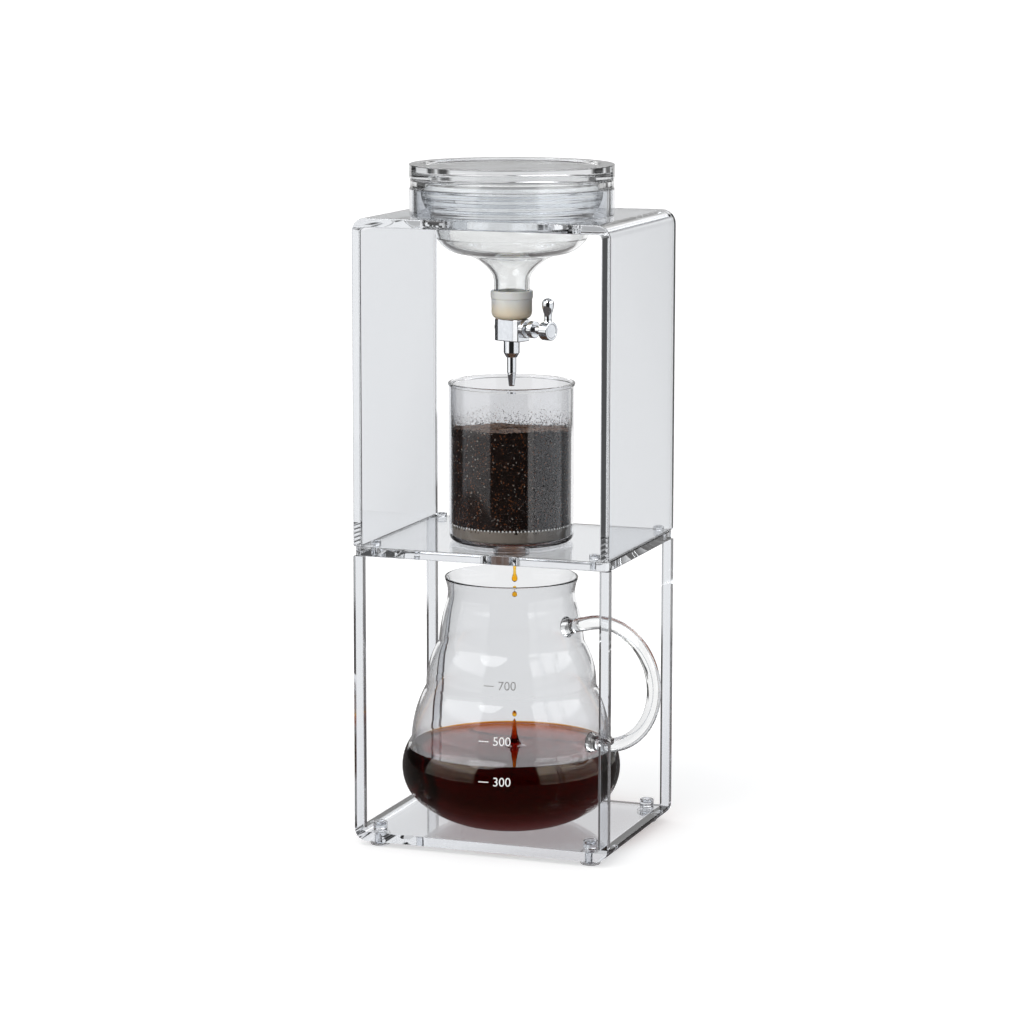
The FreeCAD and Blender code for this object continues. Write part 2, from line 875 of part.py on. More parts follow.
def filter_parts():
    """The filter is a band that stands on the glass's floor under a drilled screen."""
    floor = "shelfLevel + sheet + standGap + filterBase"
    inner = "filterRadius - glassWall - fitGap"
    corner = "(filterCorner - glassWall)"
    band = [
        (f"{inner} - {corner} - ringBandWall", floor),
        (f"{inner} - {corner}", floor),
        (inner, f"{floor} + {corner}"),
        (inner, f"{floor} + ringBandHeight"),
        (f"{inner} - ringBandWall", f"{floor} + ringBandHeight"),
        (f"{inner} - ringBandWall", f"{floor} + {corner}"),
    ]
    on_axis(turned("filter_band", band))
    screen = body("filter_screen")
    disc = sketch(screen, "XY_Plane", "screen_outline")
    circle(disc, "0", "0", inner)
    solid_pad(screen, disc, "screenHeight")
    for row in range(1, 5):
        hole = sketch(screen, "XY_Plane", f"screen_hole_{row}")
        circle(hole, f"{row} * screenRowStep", "0", "screenHoleRadius")
        pocket = cut(screen, hole, reverse=True)
        ring = screen.newObject("PartDesign::PolarPattern", f"screen_row_{row}")
        ring.Originals = [pocket]
        ring.Axis = (disc, ["N_Axis"])
        ring.Angle = 360
        ring.Occurrences = 6 * row
        screen.Tip = ring
        doc.recompute()
    placed(screen, ("0", "axisY", f"{floor} + ringBandHeight"))
    keep(screen)


def coffee_grounds():
    floor = "shelfLevel + sheet + standGap + filterBase"
    start = f"{floor} + ringBandHeight + screenHeight"
    points = [
        ("0", start),
        ("filterRadius - glassWall - fitGap", start),
        ("filterRadius - glassWall - fitGap", "groundsTop"),
        ("0", "groundsTop"),
    ]
    on_axis(turned("coffee_grounds", points))


# ---- carafe, with its handle and the brewed coffee in it


def carafe_points():
    return raised(CARAFE_OUTLINE, value("baseLevel + sheet + standGap"))


def carafe():
    wall = value("glassWall")
    points = carafe_points()
    outer = blown(points)
    inner, inner_low, inner_high = inset(outer, wall)
    rim, base = points[0], points[-1]
    lip = ((rim[0] + inner_high[0]) / 2, rim[1] + wall / 2)
    crest = Part.Arc(*[Vector(r, 0, z) for r, z in (rim, lip, inner_high)]).toShape()
    floor = polyline([base, (0, base[1]), (0, inner_low[1]), inner_low])
    return keep(fixed("carafe", spun(outer.Edges + inner.Edges + [crest] + floor)))


def carafe_outside():
    """The carafe as one full solid, for trimming what joins it."""
    points = carafe_points()
    rim, base = points[0], points[-1]
    return spun(blown(points).Edges + polyline([base, (0, base[1]), (0, rim[1]), rim]))


def carafe_handle():
    """A round rod: out and slightly up from the shoulder, half round, and back in level."""
    radius, bend = value("handleRadius"), value("handleArc")
    middle = Vector(value("handleOut"), 0, value("handleMiddle"))
    rise = Rotation(Vector(0, 1, 0), -value("handleRise"))
    start = middle + rise.multVec(Vector(0, 0, bend))
    outward = rise.multVec(Vector(1, 0, 0))
    end = middle - Vector(0, 0, bend)
    root = start - outward * (start.x - value("neckRadius") * 3)
    foot = Vector(value("handleOut") - bend / 2, 0, end.z)
    bow = Part.Arc(start, middle + Vector(bend, 0, 0), end).toShape()
    path = Part.Wire([Part.makeLine(root, start), bow, Part.makeLine(end, foot)])
    ring = Part.Wire([Part.makeCircle(radius, root, outward)])
    rod = path.makePipeShell([ring], True, True)
    boss, reach = value("bossRadius"), value("bossLength")
    shoulder = start - outward * (start.x - value("upperBoss"))
    upper = Part.makeCone(boss, radius, reach, shoulder, outward)
    heel = Vector(value("lowerBoss"), 0, end.z)
    lower = Part.makeCone(boss, radius, reach, heel, Vector(1, 0, 0))
    whole = rod.fuse([upper, lower]).removeSplitter()
    whole.rotate(Vector(0, 0, 0), Vector(0, 0, 1), value("handleTurn"))
    whole.translate(Vector(0, value("axisY"), 0))
    rest = whole.cut(carafe_outside())
    largest = max(rest.Solids, key=lambda solid: solid.Volume)
    return keep(fixed("carafe_handle", largest))


def brewed_coffee():
    """The coffee fills the carafe up to its level, a film clear of the glass."""
    inner, low, high = inset(blown(carafe_points()), value("glassWall + film"))
    full = spun(inner.Edges + polyline([low, (0, low[1]), (0, high[1]), high]))
    level, reach = value("coffeeLevel"), value("frameWidth")
    below = Part.makeBox(2 * reach, 2 * reach, level, Vector(-reach, -reach, 0))
    return keep(fixed("brewed_coffee", full.common(below).Solids[0]))


for build in (
    upper_frame,
    shelf,
    lower_frame,
    base_screws,
    feet,
    shelf_studs,
    bowl_ring,
    glass_bowl,
    bowl_lid,
    neck_joint,
    tap_body,
    inlet_spigot,
    tap_plug,
):
    build()
stem_ring("packing_nut", "nutRadius", "nutStart", "nutEnd", "runningGap", "tapEdge")
stem_ring("lock_collar", "collarRadius", "collarStart", "collarEnd", "0", "tapEdge")
for build in (
    tap_handle,
    tap_lever,
    tail_screw,
    nozzle,
    filter_glass,
    filter_parts,
    coffee_grounds,
    carafe,
    carafe_handle,
    brewed_coffee,
):
    build()

doc.recompute()
for item in doc.Objects:
    if {"Invalid", "Error"} & set(item.State):
        raise RuntimeError(f"{item.Label} did not recompute: {item.State}")
for label, item in nodes.items():
    if item.Shape.isNull() or not item.Shape.isValid():
        raise RuntimeError(f"{label} has no valid shape")

os.makedirs("parts", exist_ok=True)
for label, item in nodes.items():
    item.Shape.exportStep(os.path.join("parts", f"{label}.step"))
    box = item.Shape.BoundBox
    print(f"{label}: {len(item.Shape.Solids)} solids, {item.Shape.Volume / 1000:.2f} cm3, "
          f"z {box.ZMin:.1f} to {box.ZMax:.1f}")
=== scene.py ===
import math
import random

import bmesh
import bpy
from mathutils import Matrix, Vector


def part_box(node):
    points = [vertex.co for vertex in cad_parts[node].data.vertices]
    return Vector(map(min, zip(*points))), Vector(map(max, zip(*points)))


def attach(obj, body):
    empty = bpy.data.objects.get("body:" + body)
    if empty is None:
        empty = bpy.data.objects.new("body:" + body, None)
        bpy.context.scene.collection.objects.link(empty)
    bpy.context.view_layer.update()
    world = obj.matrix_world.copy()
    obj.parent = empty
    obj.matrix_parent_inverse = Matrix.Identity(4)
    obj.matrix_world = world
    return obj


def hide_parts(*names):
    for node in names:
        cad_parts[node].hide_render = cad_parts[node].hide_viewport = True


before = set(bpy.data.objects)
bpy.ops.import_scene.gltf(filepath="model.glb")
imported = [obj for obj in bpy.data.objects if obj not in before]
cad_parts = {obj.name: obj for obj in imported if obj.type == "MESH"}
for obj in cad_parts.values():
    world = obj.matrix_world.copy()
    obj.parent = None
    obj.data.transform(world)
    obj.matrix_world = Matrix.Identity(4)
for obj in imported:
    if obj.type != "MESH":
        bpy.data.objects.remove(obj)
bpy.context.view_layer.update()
print("frame loaded:", len(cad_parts), "nodes")

# the pieces are drawn in millimetres and scaled to metres in dress; the studio is in metres
millimetre = 0.001
circle = 2 * math.pi


def spanOf(node):
    # lowest and highest corner of a CAD node
    low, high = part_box(node)
    return low / millimetre, high / millimetre


def roundSpan(node):
    # radius, bottom and top of a node turned about an upright line
    low, high = spanOf(node)
    return (high.x - low.x) / 2, low.z, high.z


ringLow, ringHigh = spanOf("bowl_ring")
vesselLine = Vector(((ringLow.x + ringHigh.x) / 2, (ringLow.y + ringHigh.y) / 2, 0))

# shader helpers


class Channel:
    # an output socket that can stand in ordinary sums

    def __init__(self, finish, socket):
        self.finish = finish
        self.socket = socket

    def maths(self, operation, first, second):
        return self.finish.node("ShaderNodeMath", {"operation": operation}, {0: first, 1: second})

    def __add__(self, other):
        return self.maths("ADD", self, other)

    def __sub__(self, other):
        return self.maths("SUBTRACT", self, other)

    def __rsub__(self, other):
        return self.maths("SUBTRACT", other, self)

    def __mul__(self, other):
        return self.maths("MULTIPLY", self, other)

    def __truediv__(self, other):
        return self.maths("DIVIDE", self, other)

    def __pow__(self, other):
        return self.maths("POWER", self, other)

    __radd__ = __add__
    __rmul__ = __mul__


class Finish:
    # a material or world that is put together node by node

    def __init__(self, owner):
        owner.use_nodes = True
        self.owner = owner
        self.tree = owner.node_tree
        self.tree.nodes.clear()

    def node(self, kind, settings=None, sockets=None, output=0):
        made = self.tree.nodes.new(kind)
        for key, choice in (settings or {}).items():
            if key == "stops":
                self.setStops(made.color_ramp, choice)
            else:
                setattr(made, key, choice)
        for key, amount in (sockets or {}).items():
            if isinstance(amount, Channel):
                self.tree.links.new(amount.socket, made.inputs[key])
            else:
                made.inputs[key].default_value = amount
        return Channel(self, made.outputs[output]) if made.outputs else None

    def setStops(self, ramp, stops):
        while len(ramp.elements) < len(stops):
            ramp.elements.new(1)
        for element, (place, shade) in zip(ramp.elements, stops):
            element.position = place
            element.color = (*shade, 1)

    def place(self):
        return self.node("ShaderNodeTexCoord", output="Object")

    def along(self, way, axis):
        return self.node("ShaderNodeSeparateXYZ", {}, {"Vector": way}, output=axis)

    def facingUp(self):
        return self.along(self.node("ShaderNodeNewGeometry", output="Normal"), "Z")

    def ray(self, kind):
        return self.node("ShaderNodeLightPath", output=kind)

    def vector(self, operation, sockets, output=0):
        return self.node("ShaderNodeVectorMath", {"operation": operation}, sockets, output)

    def noise(self, place, scale, detail=3, roughness=0.5):
        sockets = {"Vector": place, "Scale": scale, "Detail": detail, "Roughness": roughness}
        return self.node("ShaderNodeTexNoise", {}, sockets)

    def ramp(self, value, stops):
        return self.node("ShaderNodeValToRGB", {"stops": stops}, {"Fac": value})

    def blend(self, factor, first, second, how="MIX"):
        settings = {"data_type": "RGBA", "blend_type": how}
        return self.node("ShaderNodeMix", settings, {0: factor, 6: first, 7: second}, output=2)

    def band(self, value, low, high):
        # 0 below low, 1 above high
        sockets = {"Value": value, "From Min": low, "From Max": high}
        return self.node("ShaderNodeMapRange", {"interpolation_type": "SMOOTHSTEP"}, sockets)

    def bump(self, height, distance):
        sockets = {"Height": height, "Distance": distance * millimetre}
        return self.node("ShaderNodeBump", {}, sockets)

    def surface(self, sockets):
        return self.node("ShaderNodeBsdfPrincipled", {}, sockets)

    def light(self, shade, strength=1.0):
        return self.node("ShaderNodeEmission", {}, {"Color": shade, "Strength": strength})

    def either(self, factor, first, second):
        return self.node("ShaderNodeMixShader", {}, {0: factor, 1: first, 2: second})

    def show(self, sockets, kind="Material"):
        self.node("ShaderNodeOutput" + kind, {}, sockets)
        return self.owner

    def paint(self, sockets):
        return self.show({"Surface": self.surface(sockets)})


def newFinish(name):
    return Finish(bpy.data.materials.new(name))


def colour(red, green, blue):
    return (red, green, blue, 1)


# clear and metal finishes


def lampsThrough(finish, sockets, tint):
    # lamps reach what stands behind the clear wall
    empty = finish.node("ShaderNodeBsdfTransparent", {}, {"Color": tint})
    return finish.either(finish.ray("Is Shadow Ray"), finish.surface(sockets), empty)


def clearFinish(name, look):
    finish = newFinish(name)
    place = finish.place()
    cloud = finish.noise(place, look["cloudScale"], 4)
    smear = finish.band(finish.noise(place, look["smearScale"], 5), *look["smearBand"])
    sockets = {
        "Base Color": finish.blend(cloud, look["tint"], look["deepTint"]),
        "Roughness": smear * look["smear"],
        "IOR": look["ior"],
        "Specular Tint": look["sheen"],
        "Transmission Weight": 1.0,
        "Normal": finish.bump(finish.noise(place, look["waveScale"], 1), look["wave"]),
    }
    return finish.show({"Surface": lampsThrough(finish, sockets, look["shadow"])})


acrylicLook = {
    "tint": colour(0.84, 0.86, 0.89),
    "deepTint": colour(0.82, 0.84, 0.87),
    "sheen": colour(1, 1, 1),
    "shadow": colour(0.95, 0.955, 0.96),
    "ior": 1.49,
    "cloudScale": 12.0,
    "smearScale": 34.0,
    "smearBand": (0.56, 0.72),
    "smear": 0.02,
    "waveScale": 9.0,
    "wave": 0.02,
}
pressedLook = dict(
    acrylicLook,
    tint=colour(0.955, 0.96, 0.96),
    deepTint=colour(0.92, 0.93, 0.93),
    ior=1.52,
    waveScale=40.0,
    wave=0.05,
)
lidTint = {"tint": colour(0.76, 0.77, 0.785), "deepTint": colour(0.73, 0.74, 0.755)}
blownLook = dict(
    acrylicLook,
    tint=colour(0.975, 0.98, 0.98),
    deepTint=colour(0.955, 0.965, 0.965),
    shadow=colour(0.97, 0.97, 0.97),
    ior=1.47,
    waveScale=22.0,
    wave=0.04,
)
carafeTint = {
    "tint": colour(0.865, 0.873, 0.885),
    "deepTint": colour(0.85, 0.858, 0.87),
    "sheen": colour(0.45, 0.45, 0.45),
}
filterTint = {
    "tint": colour(0.84, 0.845, 0.86),
    "deepTint": colour(0.82, 0.825, 0.84),
    "smear": 0.12,
}
softTint = {
    "tint": colour(0.9, 0.91, 0.92),
    "deepTint": colour(0.84, 0.85, 0.87),
    "smear": 0.25,
    "ior": 1.42,
}
clearAcrylic = clearFinish("clearAcrylic", acrylicLook)
pressedGlass = clearFinish("pressedGlass", pressedLook)
clearLid = clearFinish("clearLid", {**pressedLook, **lidTint})
blownGlass = clearFinish("blownGlass", blownLook)
carafeGlass = clearFinish("carafeGlass", {**blownLook, **carafeTint})
filterClear = clearFinish("filterClear", {**blownLook, **filterTint})
softClear = clearFinish("softClear", {**acrylicLook, **softTint})
mouldedClear = clearFinish("mouldedClear", dict(acrylicLook, waveScale=120.0, wave=0.06))

chromeLook = {
    "light": colour(0.86, 0.87, 0.88),
    "dull": colour(0.7, 0.71, 0.73),
    "cloudScale": 420.0,
    "scuffScale": 900.0,
    "scuffBand": (0.58, 0.7),
    "scuff": 0.08,
    "polish": 0.05,
    "wave": 0.004,
}


def chromeFinish():
    look = chromeLook
    finish = newFinish("polishedChrome")
    place = finish.place()
    cloud = finish.noise(place, look["cloudScale"], 4)
    scuff = finish.band(finish.noise(place, look["scuffScale"], 6, 0.7), *look["scuffBand"])
    sockets = {
        "Base Color": finish.blend(cloud, look["light"], look["dull"]),
        "Metallic": 1.0,
        "Roughness": scuff * look["scuff"] + look["polish"],
        "Normal": finish.bump(cloud, look["wave"]),
    }
    return finish.paint(sockets)


chrome = chromeFinish()

siliconeLook = {
    "pale": colour(0.9, 0.88, 0.84),
    "cream": colour(0.89, 0.75, 0.56),
    # the heights between which cream turns pale
    "bottom": 337.0,
    "top": 351.0,
    "grainScale": 700.0,
    "grain": 0.03,
}


def siliconeFinish():
    look = siliconeLook
    finish = newFinish("milkySilicone")
    place = finish.place()
    low, high = look["bottom"] * millimetre, look["top"] * millimetre
    height = finish.band(finish.along(place, "Z"), low, high)
    grain = finish.noise(place, look["grainScale"], 5)
    sockets = {
        "Base Color": finish.blend(height, look["cream"], look["pale"]),
        "Roughness": grain * 0.2 + 0.38,
        "Subsurface Weight": 0.35,
        "Subsurface Radius": (0.004, 0.003, 0.002),
        "Subsurface Scale": 1.0,
        "Coat Weight": 0.15,
        "Normal": finish.bump(grain, look["grain"]),
    }
    return finish.paint(sockets)


milkySilicone = siliconeFinish()

# coffee finishes

groundsLook = {
    "dark": colour(0.006, 0.003, 0.002),
    "roast": colour(0.035, 0.013, 0.006),
    "chaff": colour(0.42, 0.15, 0.06),
    "husk": colour(0.85, 0.78, 0.7),
    "top": colour(0.36, 0.22, 0.15),
    "grainScale": 1250.0,
    "wobbleScale": 2600.0,
    "wobble": 0.0009,
    "upwardPatchScale": 260.0,
    "chaffBand": (0.9, 0.93),
    "huskBand": (0.972, 0.985),
    "patchBand": (0.35, 0.62),
    "upwardBand": (0.55, 0.9),
    "relief": 0.5,
}


def groundsFinish():
    look = groundsLook
    finish = newFinish("wetGrounds")
    place = finish.place()
    sockets = {"Vector": place, "Scale": look["wobbleScale"]}
    wobble = finish.node("ShaderNodeTexNoise", {}, sockets, output=1)
    bent = finish.vector("MULTIPLY_ADD", {0: wobble, 1: (look["wobble"],) * 3, 2: place})
    sockets = {"Vector": bent, "Scale": look["grainScale"], "Randomness": 1.0}
    cells = finish.node("ShaderNodeTexVoronoi", {}, sockets, output="Color")
    edge = finish.node("ShaderNodeTexVoronoi", {}, sockets, output="Distance")
    pick, other = (
        finish.node("ShaderNodeSeparateColor", {}, {"Color": cells}, output) for output in (0, 1)
    )
    # a few grains are chaff, and fewer still are husk
    flecked = finish.blend(pick, look["dark"], look["roast"])
    flecked = finish.blend(finish.band(other, *look["chaffBand"]), flecked, look["chaff"])
    flecked = finish.blend(finish.band(other, *look["huskBand"]), flecked, look["husk"])
    # a lighter colour on patches where the heap's surface faces upwards
    patches = finish.band(finish.noise(place, look["upwardPatchScale"], 4), *look["patchBand"])
    upwardPatches = finish.band(finish.facingUp(), *look["upwardBand"]) * patches
    sockets = {
        "Base Color": finish.blend(upwardPatches, flecked, look["top"]),
        "Roughness": other * 0.5 + 0.25,
        "Specular IOR Level": 0.18,
        "Normal": finish.bump(edge, look["relief"]),
    }
    return finish.paint(sockets)


wetGrounds = groundsFinish()

coffeeLook = {
    "tint": colour(0.95, 0.8, 0.6),
    "swirl": colour(1.0, 0.85, 0.7),
    "absorbed": colour(0.936, 0.8, 0.0),
    "density": 500.0,
    "ior": 1.34,
    "coat": 0.72,
    "levelBand": (0.7, 0.9),
    "swirlScale": 60.0,
    "wave": 0.05,
    # painted glow: red emission near the carafe's foot, over its first 50 mm, standing in for
    # light through the thinner coffee there
    "paintedGlowReach": 50.0,
    "paintedGlow": [
        (0.0, (0.1, 0.008, 0.004)),
        (0.3, (0.06, 0.004, 0.003)),
        (0.5, (0.015, 0.001, 0.0)),
        (0.8, (0, 0, 0)),
    ],
}


def brewFinish(name, look):
    finish = newFinish(name)
    place = finish.place()
    swirl = finish.noise(place, look["swirlScale"], 3)
    height = finish.along(place, "Z") * (1 / (look["paintedGlowReach"] * millimetre))
    sockets = {
        "Base Color": finish.blend(swirl, look["tint"], look["swirl"]),
        "Roughness": 0.0,
        "IOR": look["ior"],
        "Specular Tint": colour(0, 0, 0),
        "Transmission Weight": 1.0,
        # only the level top mirrors the room
        "Coat Weight": finish.band(finish.facingUp(), *look["levelBand"]) * look["coat"],
        "Coat Roughness": 0.0,
        "Coat IOR": look["ior"],
        # painted glow: the emission stands in for light coming through the thin coffee at the foot
        "Emission Color": finish.ramp(height, look["paintedGlow"]),
        "Emission Strength": 1.0,
        "Normal": finish.bump(swirl, look["wave"]),
    }
    surface = lampsThrough(finish, sockets, look["tint"])
    sockets = {"Color": look["absorbed"], "Density": look["density"]}
    volume = finish.node("ShaderNodeVolumeAbsorption", {}, sockets)
    return finish.show({"Surface": surface, "Volume": volume})


dripLook = dict(
    coffeeLook,
    tint=colour(1.0, 0.76, 0.3),
    absorbed=colour(0.985, 0.82, 0.0),
    density=900.0,
)
splashLook = dict(coffeeLook, absorbed=colour(0.93, 0.64, 0.0), density=2200.0)
darkCoffee = brewFinish("darkCoffee", coffeeLook)
amberDrip = brewFinish("amberDrip", dripLook)
splashBrew = brewFinish("splashBrew", splashLook)

bandLook = {
    "weave": colour(0.72, 0.63, 0.53),
    "gap": colour(0.52, 0.45, 0.38),
    "stain": colour(0.44, 0.37, 0.3),
    "threadScale": 900.0,
    "stainScale": 90.0,
    "thread": 0.05,
}


def meshFinish():
    look = bandLook
    finish = newFinish("filterWeave")
    place = finish.place()
    sockets = {"Vector": place, "Scale": look["threadScale"], "Distortion": 0.0, "Detail": 0.0}
    rows = finish.node("ShaderNodeTexWave", {"bands_direction": "Z"}, sockets)
    stain = finish.noise(place, look["stainScale"], 4)
    weave = finish.blend(rows, look["gap"], look["weave"])
    sockets = {
        "Base Color": finish.blend(stain * 0.5, weave, look["stain"]),
        "Metallic": 0.15,
        "Roughness": stain * 0.3 + 0.35,
        "Normal": finish.bump(rows, look["thread"]),
    }
    return finish.paint(sockets)


filterWeave = meshFinish()


printLook = {"wearScale": 1500.0, "wearBand": (0.6, 0.8), "worn": colour(0.62, 0.62, 0.6)}


def printFinish(name, shade):
    look = printLook
    finish = newFinish(name)
    wear = finish.noise(finish.place(), look["wearScale"], 4)
    worn = finish.blend(finish.band(wear, *look["wearBand"]) * 0.5, shade, look["worn"])
    return finish.paint({"Base Color": worn, "Roughness": wear * 0.3 + 0.4})


print("finishes ready")

# outlines


def arcThrough(start, middle, end, steps=12):
    # spots along the round arc from start through middle to end, without the start
    (ax, ay), (bx, by), (cx, cy) = start, middle, end
    turn = 2 * (ax * (by - cy) + bx * (cy - ay) + cx * (ay - by))
    a, b, c = ax * ax + ay * ay, bx * bx + by * by, cx * cx + cy * cy
    x = (a * (by - cy) + b * (cy - ay) + c * (ay - by)) / turn
    y = (a * (cx - bx) + b * (ax - cx) + c * (bx - ax)) / turn
    radius = math.dist((x, y), start)
    angles = [math.atan2(q - y, p - x) for p, q in (start, middle, end)]
    sweep = (angles[2] - angles[0]) % circle
    if (angles[1] - angles[0]) % circle > sweep:
        sweep -= circle
    turns = [angles[0] + sweep * i / steps for i in range(1, steps + 1)]
    return [(x + radius * math.cos(t), y + radius * math.sin(t)) for t in turns]


def arcChain(spots, steps):
    path = [spots[0]]
    for i in range(0, len(spots) - 2, 2):
        path += arcThrough(*spots[i : i + 3], steps)
    return path


def roundOff(spots, steps=5):
    # spots are (across, up, radius): each corner of the closed outline becomes an arc
    path = []
    for i, (across, up, radius) in enumerate(spots):
        corner = Vector((across, up))
        before = Vector(spots[i - 1][:2]) - corner
        after = Vector(spots[(i + 1) % len(spots)][:2]) - corner
        if not radius:
            path.append((across, up))
            continue
        half = before.angle(after) / 2
        reach = min(radius / math.tan(half), 0.49 * before.length, 0.49 * after.length)
        size = reach * math.tan(half)
        way = (before.normalized() + after.normalized()).normalized()
        centre = corner + way * size / math.sin(half)
        start = corner + before.normalized() * reach
        end = corner + after.normalized() * reach
        middle = centre - way * size
        path.append(tuple(start))
        path += arcThrough(tuple(start), tuple(middle), tuple(end), steps)
    return path


def inward(path, wall):
    # an open outline moved towards the axis by the wall's thickness
    moved = []
    for i, (across, up) in enumerate(path):
        before, after = path[max(i - 1, 0)], path[min(i + 1, len(path) - 1)]
        along = Vector((after[0] - before[0], after[1] - before[1])).normalized()
        moved.append((max(across + along.y * wall, 0), up - along.x * wall))
    return moved


def circleOutline(across, up, radius, steps):
    turns = [circle * i / steps for i in range(steps)]
    return [(across + radius * math.cos(t), up + radius * math.sin(t)) for t in turns]


def boxOutline(left, bottom, right, top):
    return [(left, bottom), (right, bottom), (right, top), (left, top)]


# meshes


def lathe(mesh, outline, centre, turns, closed=True):
    rings = []
    for across, up in outline:
        if across < 1e-5:
            rings.append([mesh.verts.new((centre.x, centre.y, centre.z + up))])
            continue
        ring = circleOutline(centre.x, centre.y, across, turns)
        rings.append([mesh.verts.new((x, y, centre.z + up)) for x, y in ring])
    pairs = list(zip(rings, rings[1:] + rings[:1]))
    for lower, upper in pairs if closed else pairs[:-1]:
        if len(lower) == 1 and len(upper) == 1:
            continue
        for i in range(turns):
            follow = (i + 1) % turns
            corners = [lower[i % len(lower)], lower[follow % len(lower)]]
            corners += [upper[follow % len(upper)], upper[i % len(upper)]]
            mesh.faces.new(list(dict.fromkeys(corners)))


def turned(outline, centre=vesselLine, turns=160, closed=True):
    mesh = bmesh.new()
    lathe(mesh, outline, centre, turns, closed)
    return mesh


def bridge(mesh, first, last):
    # side faces between two loops of equal length
    for i in range(len(first)):
        follow = (i + 1) % len(first)
        mesh.faces.new((first[i], first[follow], last[follow], last[i]))


def prism(mesh, outline, near, far, axis):
    # a closed outline pushed along one axis; its points give the other two, in order
    ends = []
    for level in (near, far):
        spots = [[*spot[:axis], level, *spot[axis:]] for spot in outline]
        ends.append([mesh.verts.new(spot) for spot in spots])
    mesh.faces.new(ends[0])
    mesh.faces.new(ends[1])
    bridge(mesh, *ends)


def pushed(outline, near, far, axis):
    mesh = bmesh.new()
    prism(mesh, outline, near, far, axis)
    return mesh


def around(angle):
    return Vector((math.cos(angle), math.sin(angle), 0))


def tube(mesh, spots, sizes, sides):
    # a round rod through the spots, whose radius follows sizes
    rings = []
    reference = Vector((0, 0, 1))
    for i, spot in enumerate(spots):
        along = (spots[min(i + 1, len(spots) - 1)] - spots[max(i - 1, 0)]).normalized()
        across = along.orthogonal() if i == 0 else reference - along * reference.dot(along)
        across.normalize()
        reference = across
        other = along.cross(across)
        ring = []
        for step in range(sides):
            angle = circle * step / sides
            offset = across * math.cos(angle) + other * math.sin(angle)
            ring.append(mesh.verts.new(spot + offset * sizes[i]))
        rings.append(ring)
    for lower, upper in zip(rings, rings[1:]):
        bridge(mesh, lower, upper)
    mesh.faces.new(rings[0])
    mesh.faces.new(rings[-1])


def pebbles(mesh, places, detail=1):
    # one small ball at every place, squashed as its matrix says
    pattern = bmesh.new()
    bmesh.ops.create_icosphere(pattern, subdivisions=detail, radius=1.0)
    spots = [vert.co.copy() for vert in pattern.verts]
    faces = [[vert.index for vert in face.verts] for face in pattern.faces]
    pattern.free()
    for place in places:
        verts = [mesh.verts.new(place @ spot) for spot in spots]
        for face in faces:
            mesh.faces.new([verts[i] for i in face])


def objectFrom(name, mesh):
    bmesh.ops.recalc_face_normals(mesh, faces=mesh.faces)
    data = bpy.data.meshes.new(name)
    mesh.to_mesh(data)
    mesh.free()
    return linked(name, data)


def linked(name, data):
    made = bpy.data.objects.new(name, data)
    bpy.context.scene.collection.objects.link(made)
    return made


def shapeOf(made):
    # the mesh of an object with its modifiers, or of a text
    bpy.context.view_layer.update()
    ready = made.evaluated_get(bpy.context.evaluated_depsgraph_get())
    return bpy.data.meshes.new_from_object(ready)


def settle(made):
    data = shapeOf(made)
    made.modifiers.clear()
    made.data = data


def cutOut(made, cutter):
    # takes the cutter's space out of the piece
    hole = objectFrom("cutter", cutter)
    tool = made.modifiers.new("cut", "BOOLEAN")
    tool.operation = "DIFFERENCE"
    tool.solver = "EXACT"
    tool.object = hole
    settle(made)
    bpy.data.objects.remove(hole)


def softenEdges(made, width):
    tool = made.modifiers.new("soften", "BEVEL")
    tool.width = width
    tool.segments = 3
    tool.limit_method = "ANGLE"
    tool.angle_limit = math.radians(40)
    tool.use_clamp_overlap = True
    settle(made)


def dress(made, finish, body, replaced=(), sharp=32):
    # scales a piece to metres, smooths it and puts it in its place on the tower
    made.data.transform(Matrix.Scale(millimetre, 4))
    made.data.shade_smooth()
    made.data.set_sharp_from_angle(angle=math.radians(sharp))
    tool = made.modifiers.new("level", "WEIGHTED_NORMAL")
    tool.keep_sharp = True
    settle(made)
    coat(made, finish)
    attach(made, body)
    if replaced:
        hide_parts(*replaced)


def coat(made, finish):
    made.data.materials.clear()
    made.data.materials.append(finish)


def turnedPiece(name, outline, finish, body, node, turns=160):
    dress(objectFrom(name, turned(outline, turns=turns)), finish, body, [node])


# acrylic frame

frameLook = {
    "sheet": 6.0,
    "upperBend": 9.0,
    "lowerBend": 8.0,
    "shelfCorner": 6.0,
    "bowlHole": 52.0,
    "spoutHole": 13.0,
    "postDepth": 6.0,
    "sill": 1.0,
    "softEdge": 0.8,
}


def bentOutline(side, foot, level, bend):
    # an inverted U when level is above foot, and a U when it is below
    sheet = frameLook["sheet"]
    inner = level - math.copysign(sheet, level - foot)
    outside = [(-side, foot, 0), (-side, level, bend), (side, level, bend), (side, foot, 0)]
    side -= sheet
    bend -= sheet
    inside = [(side, foot, 0), (side, inner, bend), (-side, inner, bend), (-side, foot, 0)]
    return roundOff(outside + inside, 10)


def cutSheet(name, node, outline, axis, hole, holeAxis, near, far):
    # a clear sheet with one opening
    low, high = spanOf(node)
    made = objectFrom(name, pushed(outline, low[axis], high[axis], axis))
    cutOut(made, pushed(hole, near, far, holeAxis))
    softenEdges(made, frameLook["softEdge"])
    dress(made, clearAcrylic, "frame", [node])


